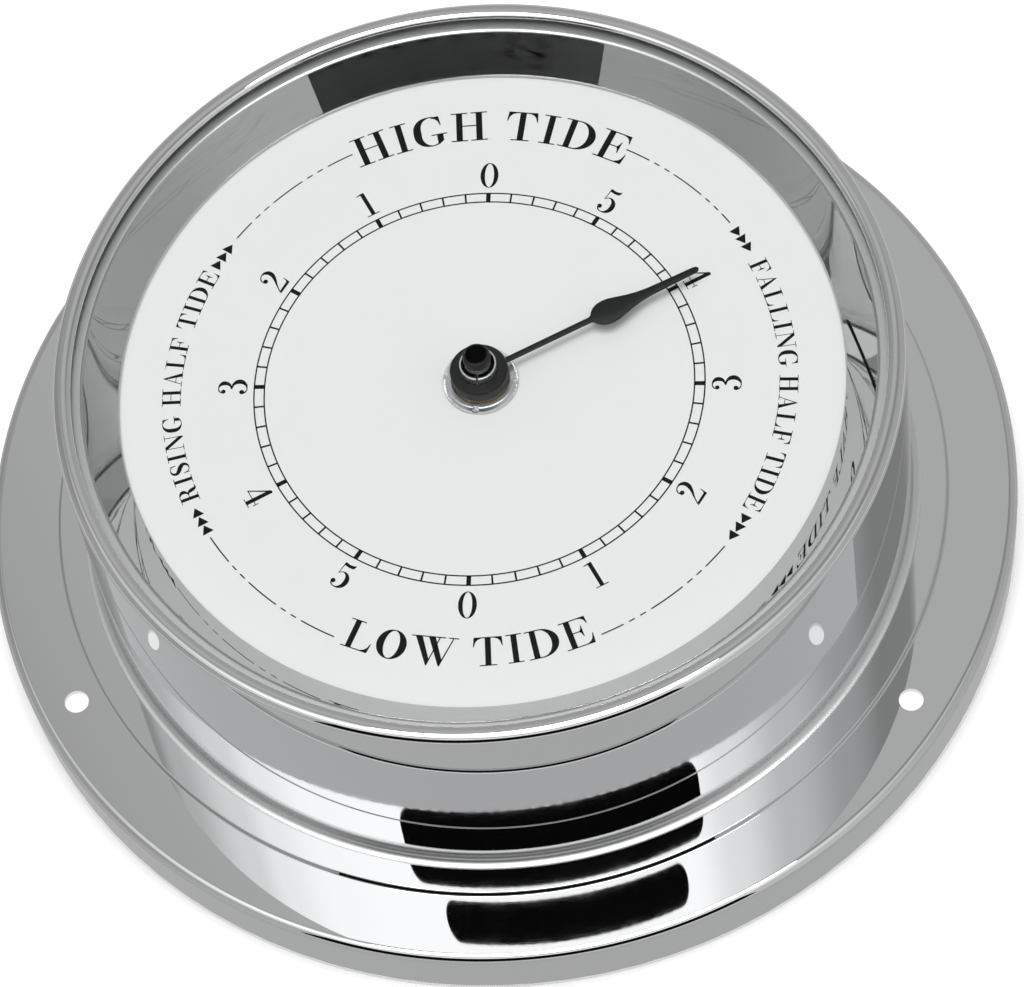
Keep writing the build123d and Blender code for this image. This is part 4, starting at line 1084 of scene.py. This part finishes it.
def tent_material():
    """Grey tent cloth: its light follows the compass direction, with one ring of shades high up
    and one low down."""
    material, tree, output = bare_material("tent_cloth")
    source = tree.nodes.new("ShaderNodeTexCoord")
    split = tree.nodes.new("ShaderNodeSeparateXYZ")
    tree.links.new(source.outputs["Object"], split.inputs["Vector"])
    compass = node(tree, "ShaderNodeMath", operation="ARCTAN2")
    tree.links.new(split.outputs["Y"], compass.inputs[0])
    tree.links.new(split.outputs["X"], compass.inputs[1])
    round_share = spread(tree, compass.outputs["Value"], 0.0, 1.0, -math.pi, math.pi)

    def ring_of_shades(shades):
        ramp = tree.nodes.new("ShaderNodeValToRGB")
        ramp.color_ramp.interpolation = "EASE"
        stops = ramp.color_ramp.elements
        stops[0].color = (*[shades[0][1]] * 3, 1.0)
        stops[1].color = (*[shades[-1][1]] * 3, 1.0)
        for angle, shade in shades[1:-1]:
            stops.new((angle + 180.0) / 360.0).color = (shade, shade, shade, 1.0)
        tree.links.new(round_share, ramp.inputs["Fac"])
        return ramp.outputs["Color"]

    upper = ring_of_shades([(-180.0, 0.62), (-168.0, 0.80), (-150.0, 0.95), (-128.0, 1.0), (-44.0, 1.0),
                            (-30.0, 0.75), (-10.0, 0.48), (15.0, 0.30), (38.0, 0.18), (62.0, 0.17),
                            (84.0, 0.29), (112.0, 0.29), (130.0, 0.20), (150.0, 0.36), (180.0, 0.62)])
    lower = ring_of_shades([(-180.0, 0.24), (-160.0, 0.22), (-135.0, 0.28), (-60.0, 0.36), (-35.0, 0.36),
                            (0.0, 0.27), (35.0, 0.25), (90.0, 0.24), (135.0, 0.22), (155.0, 0.18),
                            (180.0, 0.24)])
    reach = tree.nodes.new("ShaderNodeVectorMath")
    reach.operation = "NORMALIZE"
    tree.links.new(source.outputs["Object"], reach.inputs[0])
    rise = tree.nodes.new("ShaderNodeSeparateXYZ")
    tree.links.new(reach.outputs["Vector"], rise.inputs["Vector"])
    height = spread(tree, rise.outputs["Z"], 0.0, 1.0, math.sin(math.radians(46)),
                    math.sin(math.radians(56)))
    shades = tree.nodes.new("ShaderNodeMix")
    shades.data_type = "RGBA"
    tree.links.new(height, shades.inputs["Factor"])
    tree.links.new(lower, shades.inputs["A"])
    tree.links.new(upper, shades.inputs["B"])
    light = node(tree, "ShaderNodeEmission", Strength=TENT_LIGHT)
    tree.links.new(shades.outputs["Result"], light.inputs["Color"])
    tree.links.new(light.outputs["Emission"], output.inputs["Surface"])
    return material


def stage_piece(name, builder, material, seen=False):
    mesh = bpy.data.meshes.new(name)
    builder.to_mesh(mesh)
    builder.free()
    for face in mesh.polygons:
        face.use_smooth = True
    mesh.materials.append(material)
    piece = bpy.data.objects.new(name, mesh)
    bpy.context.scene.collection.objects.link(piece)
    piece.visible_camera = seen
    return piece


def curved_card(distance, azimuths, elevations, steps=24):
    """A card bent about the clock, between two compass directions and two heights in degrees."""
    bm = bmesh.new()
    top, bottom = math.radians(elevations[1]), math.radians(elevations[0])
    heights = [bottom + (top - bottom) * place / CARD_ROWS for place in range(CARD_ROWS + 1)]
    points = draw_line(bm, [(distance * math.cos(height), 0.0, distance * math.sin(height))
                            for height in heights])
    turn_verts(bm, points, azimuths[0])
    bmesh.ops.spin(bm, geom=bm.verts[:] + bm.edges[:], axis=(0, 0, 1), cent=(0, 0, 0),
                   angle=math.radians(azimuths[1] - azimuths[0]), steps=steps)
    return bm


def rounded_card(distance, azimuths, elevations, rounding):
    """A card with rounded corners, drawn in degrees and then bent about the clock."""
    bm = bmesh.new()
    left, right = azimuths[0] / CARD_STRETCH, azimuths[1] / CARD_STRETCH
    place = Matrix.Translation(((left + right) / 2, sum(elevations) / 2, 0.0))
    size = Matrix.Diagonal((right - left, elevations[1] - elevations[0], 1.0, 1.0))
    bmesh.ops.create_grid(bm, x_segments=1, y_segments=1, size=0.5, matrix=place @ size)
    bmesh.ops.bevel(bm, geom=bm.verts[:], offset=rounding, segments=6, profile=0.5, affect="VERTICES",
                    material=-1)
    for azimuth in range(int(azimuths[0]) + 3, int(azimuths[1]), 3):
        bmesh.ops.bisect_plane(bm, geom=bm.verts[:] + bm.edges[:] + bm.faces[:], dist=1e-5,
                               plane_co=(azimuth / CARD_STRETCH, 0, 0), plane_no=(1, 0, 0))
    for vert in bm.verts:
        azimuth = math.radians(vert.co.x * CARD_STRETCH)
        height = math.radians(vert.co.y)
        vert.co = distance * Vector((math.cos(height) * math.cos(azimuth),
                                     math.cos(height) * math.sin(azimuth), math.sin(height)))
    return bm


def flat_annulus(inner, outer, height):
    bm = bmesh.new()
    for radius in (inner, outer):
        bmesh.ops.create_circle(bm, cap_ends=False, segments=96, radius=radius * MM,
                                matrix=Matrix.Translation(spot(0, 0, height)))
    bmesh.ops.bridge_loops(bm, edges=bm.edges)
    return bm


def build_floor():
    material, tree, shader = new_material("studio_floor")
    mottling = noise(tree, coordinates(tree), 3.0)
    tree.links.new(blend_colours(tree, mottling, (0.93, 0.93, 0.93), (0.915, 0.915, 0.915)),
                   shader.inputs["Base Color"])
    shader.inputs["Roughness"].default_value = 0.9
    shader.inputs["Specular IOR Level"].default_value = 0.0
    shader.inputs["Emission Color"].default_value = (1.0, 1.0, 1.0, 1.0)
    shader.inputs["Emission Strength"].default_value = 0.22
    bm = bmesh.new()
    bmesh.ops.create_circle(bm, cap_ends=True, segments=96, radius=4.0,
                            matrix=Matrix.Translation(spot(0, 0, FLOOR_LEVEL)))
    stage_piece("studio_floor", bm, material, seen=True)


def build_world():
    world = bpy.data.worlds.new("white_room")
    bpy.context.scene.world = world
    world.use_nodes = True
    tree = world.node_tree
    background = tree.nodes["Background"]
    path = tree.nodes.new("ShaderNodeLightPath")
    seen = node(tree, "ShaderNodeMath", operation="MAXIMUM")
    seen_too = node(tree, "ShaderNodeMath", operation="MAXIMUM")
    tree.links.new(path.outputs["Is Camera Ray"], seen.inputs[0])
    tree.links.new(path.outputs["Is Glossy Ray"], seen.inputs[1])
    tree.links.new(seen.outputs["Value"], seen_too.inputs[0])
    tree.links.new(path.outputs["Is Transmission Ray"], seen_too.inputs[1])
    tree.links.new(spread(tree, seen_too.outputs["Value"], 0.35, 1.0), background.inputs["Strength"])
    background.inputs["Color"].default_value = (1.0, 1.0, 1.0, 1.0)


def build_studio():
    build_floor()
    build_world()
    stage_piece("tent", curved_card(TENT_RADIUS, (-180.0, 180.0), (0.0, 90.0), steps=96), tent_material())
    camera_distance = CAMERA_PLACE.length
    black = glow_material("black_card", 0.004)
    rise = math.degrees(math.asin(CAMERA_PLACE.z / camera_distance))
    lens_low = rise - 1.13
    slit = rounded_card(camera_distance, (-122.0, -40.0), (lens_low, rise + 0.62), 0.5)
    stage_piece("tent_slit", slit, black)
    hood = rounded_card(camera_distance, (-115.0, -47.0), (rise + 0.88, rise + 1.84), 0.46)
    stage_piece("lens_hood", hood, black)
    grey = glow_material("grey_card", 0.74)
    below = curved_card(camera_distance * 1.002, (-215.0, 22.0), (lens_low - 7.0, lens_low), steps=64)
    stage_piece("card_under_lens", below, grey)
    visor_black = curved_card(camera_distance, (-124.0, -50.0), (12.0, 43.0), steps=32)
    stage_piece("card_low_black", visor_black, black)
    mat = flat_annulus(FLANGE_RADIUS + 0.4, 400.0, STAGE_SHEET_LEVEL)
    mat_piece = stage_piece("grey_mat", mat, glow_material("grey_mat_paper", 0.52))
    mat_piece.visible_diffuse = False
    mat_piece.visible_shadow = False
    # Painted light: a ring under the flange glows pure white to the camera. Through the screw holes it shows
    # white where the floor under the flange lies in shadow.
    sheet = flat_annulus(DRUM_RADIUS, FLANGE_RADIUS - 0.4, STAGE_SHEET_LEVEL)
    stage_piece("under_flange_glow_ring", sheet, glow_material("under_flange_glow_light", 1.0), seen=True)
    lamp = bpy.data.lights.new("overhead_box", "AREA")
    lamp.shape = "DISK"
    lamp.size = OVERHEAD_SIZE
    lamp.energy = OVERHEAD_WATTS
    holder = bpy.data.objects.new("overhead_box", lamp)
    holder.location = (0.02, -0.06, 1.05)
    bpy.context.scene.collection.objects.link(holder)


def build_camera():
    camera = bpy.data.cameras.new("photo_camera")
    camera.lens = CAMERA_LENS
    camera.sensor_width = 36.0
    camera.sensor_fit = "HORIZONTAL"
    camera.clip_start = 0.01
    camera.clip_end = 20.0
    holder = bpy.data.objects.new("photo_camera", camera)
    holder.matrix_world = Matrix.Translation(CAMERA_PLACE) @ CAMERA_TURN.to_4x4()
    bpy.context.scene.collection.objects.link(holder)
    bpy.context.scene.camera = holder


def build_clock():
    chrome = polished_chrome()
    ink = printing_ink()
    black = satin_black()
    nickel = turned_metal("turned_nickel", (0.68, 0.69, 0.70), (0.22, 0.34))
    build_case(chrome)
    build_visor(visor_plate())
    build_glass(clear_glass())
    build_dial(white_lacquer())
    build_scale(ink)
    build_digits(ink)
    build_words(ink)
    build_rules(ink)
    build_hand(black)
    build_nut(nickel)
    build_pipe(nickel)
    build_cap(black)
    black_plastic = moulded_plastic("black_moulding", (0.022, 0.022, 0.023))
    acetal = moulded_plastic("natural_acetal", (0.74, 0.73, 0.68), (0.3, 0.42), 0.00001, glow=0.15)
    steel = rolled_metal("bright_steel", (0.60, 0.60, 0.61), (0.16, 0.3))
    iron = rolled_metal("annealed_iron", (0.42, 0.41, 0.39), (0.35, 0.5))
    strip = rolled_metal("nickel_strip", (0.66, 0.63, 0.56), (0.2, 0.34))
    finishes = [
        ("glass_gasket", moulded_plastic("clear_grey_pvc", (0.55, 0.55, 0.53), (0.25, 0.35)), 0),
        ("spring_ring", rolled_metal("spring_steel", (0.34, 0.34, 0.36), (0.25, 0.42)), 0.12),
        ("dial_washer", moulded_plastic("washer_rubber", (0.018, 0.018, 0.018), (0.6, 0.8)), 0.12),
        ("threaded_bush", turned_metal("turned_brass", (0.66, 0.48, 0.22), (0.2, 0.35)), 0.08),
        ("movement_case", black_plastic, 0.25),
        ("back_cover", black_plastic, 0.2),
        ("train_plate", acetal, 0.1),
        ("plate_screws", steel, 0.06),
        ("stator", iron, 0.05),
        ("coil_core", iron, 0.05),
        ("coil_bobbin", moulded_plastic("brown_nylon", (0.09, 0.07, 0.05)), 0.08),
        ("coil_winding", rolled_metal("copper_wire", (0.62, 0.24, 0.09), (0.2, 0.32), (60.0, 1.0, 1.0)), 0),
        ("circuit_board", moulded_plastic("green_mask", (0.02, 0.12, 0.04), (0.18, 0.3)), 0.05),
        ("quartz_crystal", steel, 0.15),
        ("driver_chip", moulded_plastic("black_epoxy", (0.012, 0.012, 0.012), (0.15, 0.3)), 0.3),
        ("contact_plus", strip, 0.04),
        ("contact_minus", strip, 0.04),
        ("tide_wheel", turned_metal("plated_wheel", (0.72, 0.72, 0.73), (0.25, 0.4)), 0.05),
        ("centre_arbor", steel, 0.05),
        ("shaft_cap", black, 0.05),
        ("clutch_spring", rolled_metal("phosphor_bronze", (0.64, 0.40, 0.20), (0.2, 0.35)), 0),
        ("setting_wheel", moulded_plastic("red_acetal", (0.36, 0.03, 0.02), (0.3, 0.42)), 0.04),
        ("setting_knob", moulded_plastic("knob_black", (0.02, 0.02, 0.021)), 0.15),
        ("rotor_magnet", moulded_plastic("sintered_magnet", (0.06, 0.06, 0.062), (0.4, 0.6)), 0.1),
        ("battery", rolled_metal("blue_sleeve", (0.05, 0.12, 0.32), (0.25, 0.4)), 0.15),
    ]
    for wheel in ("minute_wheel", "centre_wheel", "third_wheel", "fourth_wheel", "step_wheel",
                  "rotor_pinion"):
        finishes.append((wheel, acetal, 0.04))
    for name, finish, edge in finishes:
        dress_node(name, finish, edge)


build_clock()
build_studio()
build_camera()
bpy.context.scene.view_settings.view_transform = "Standard"
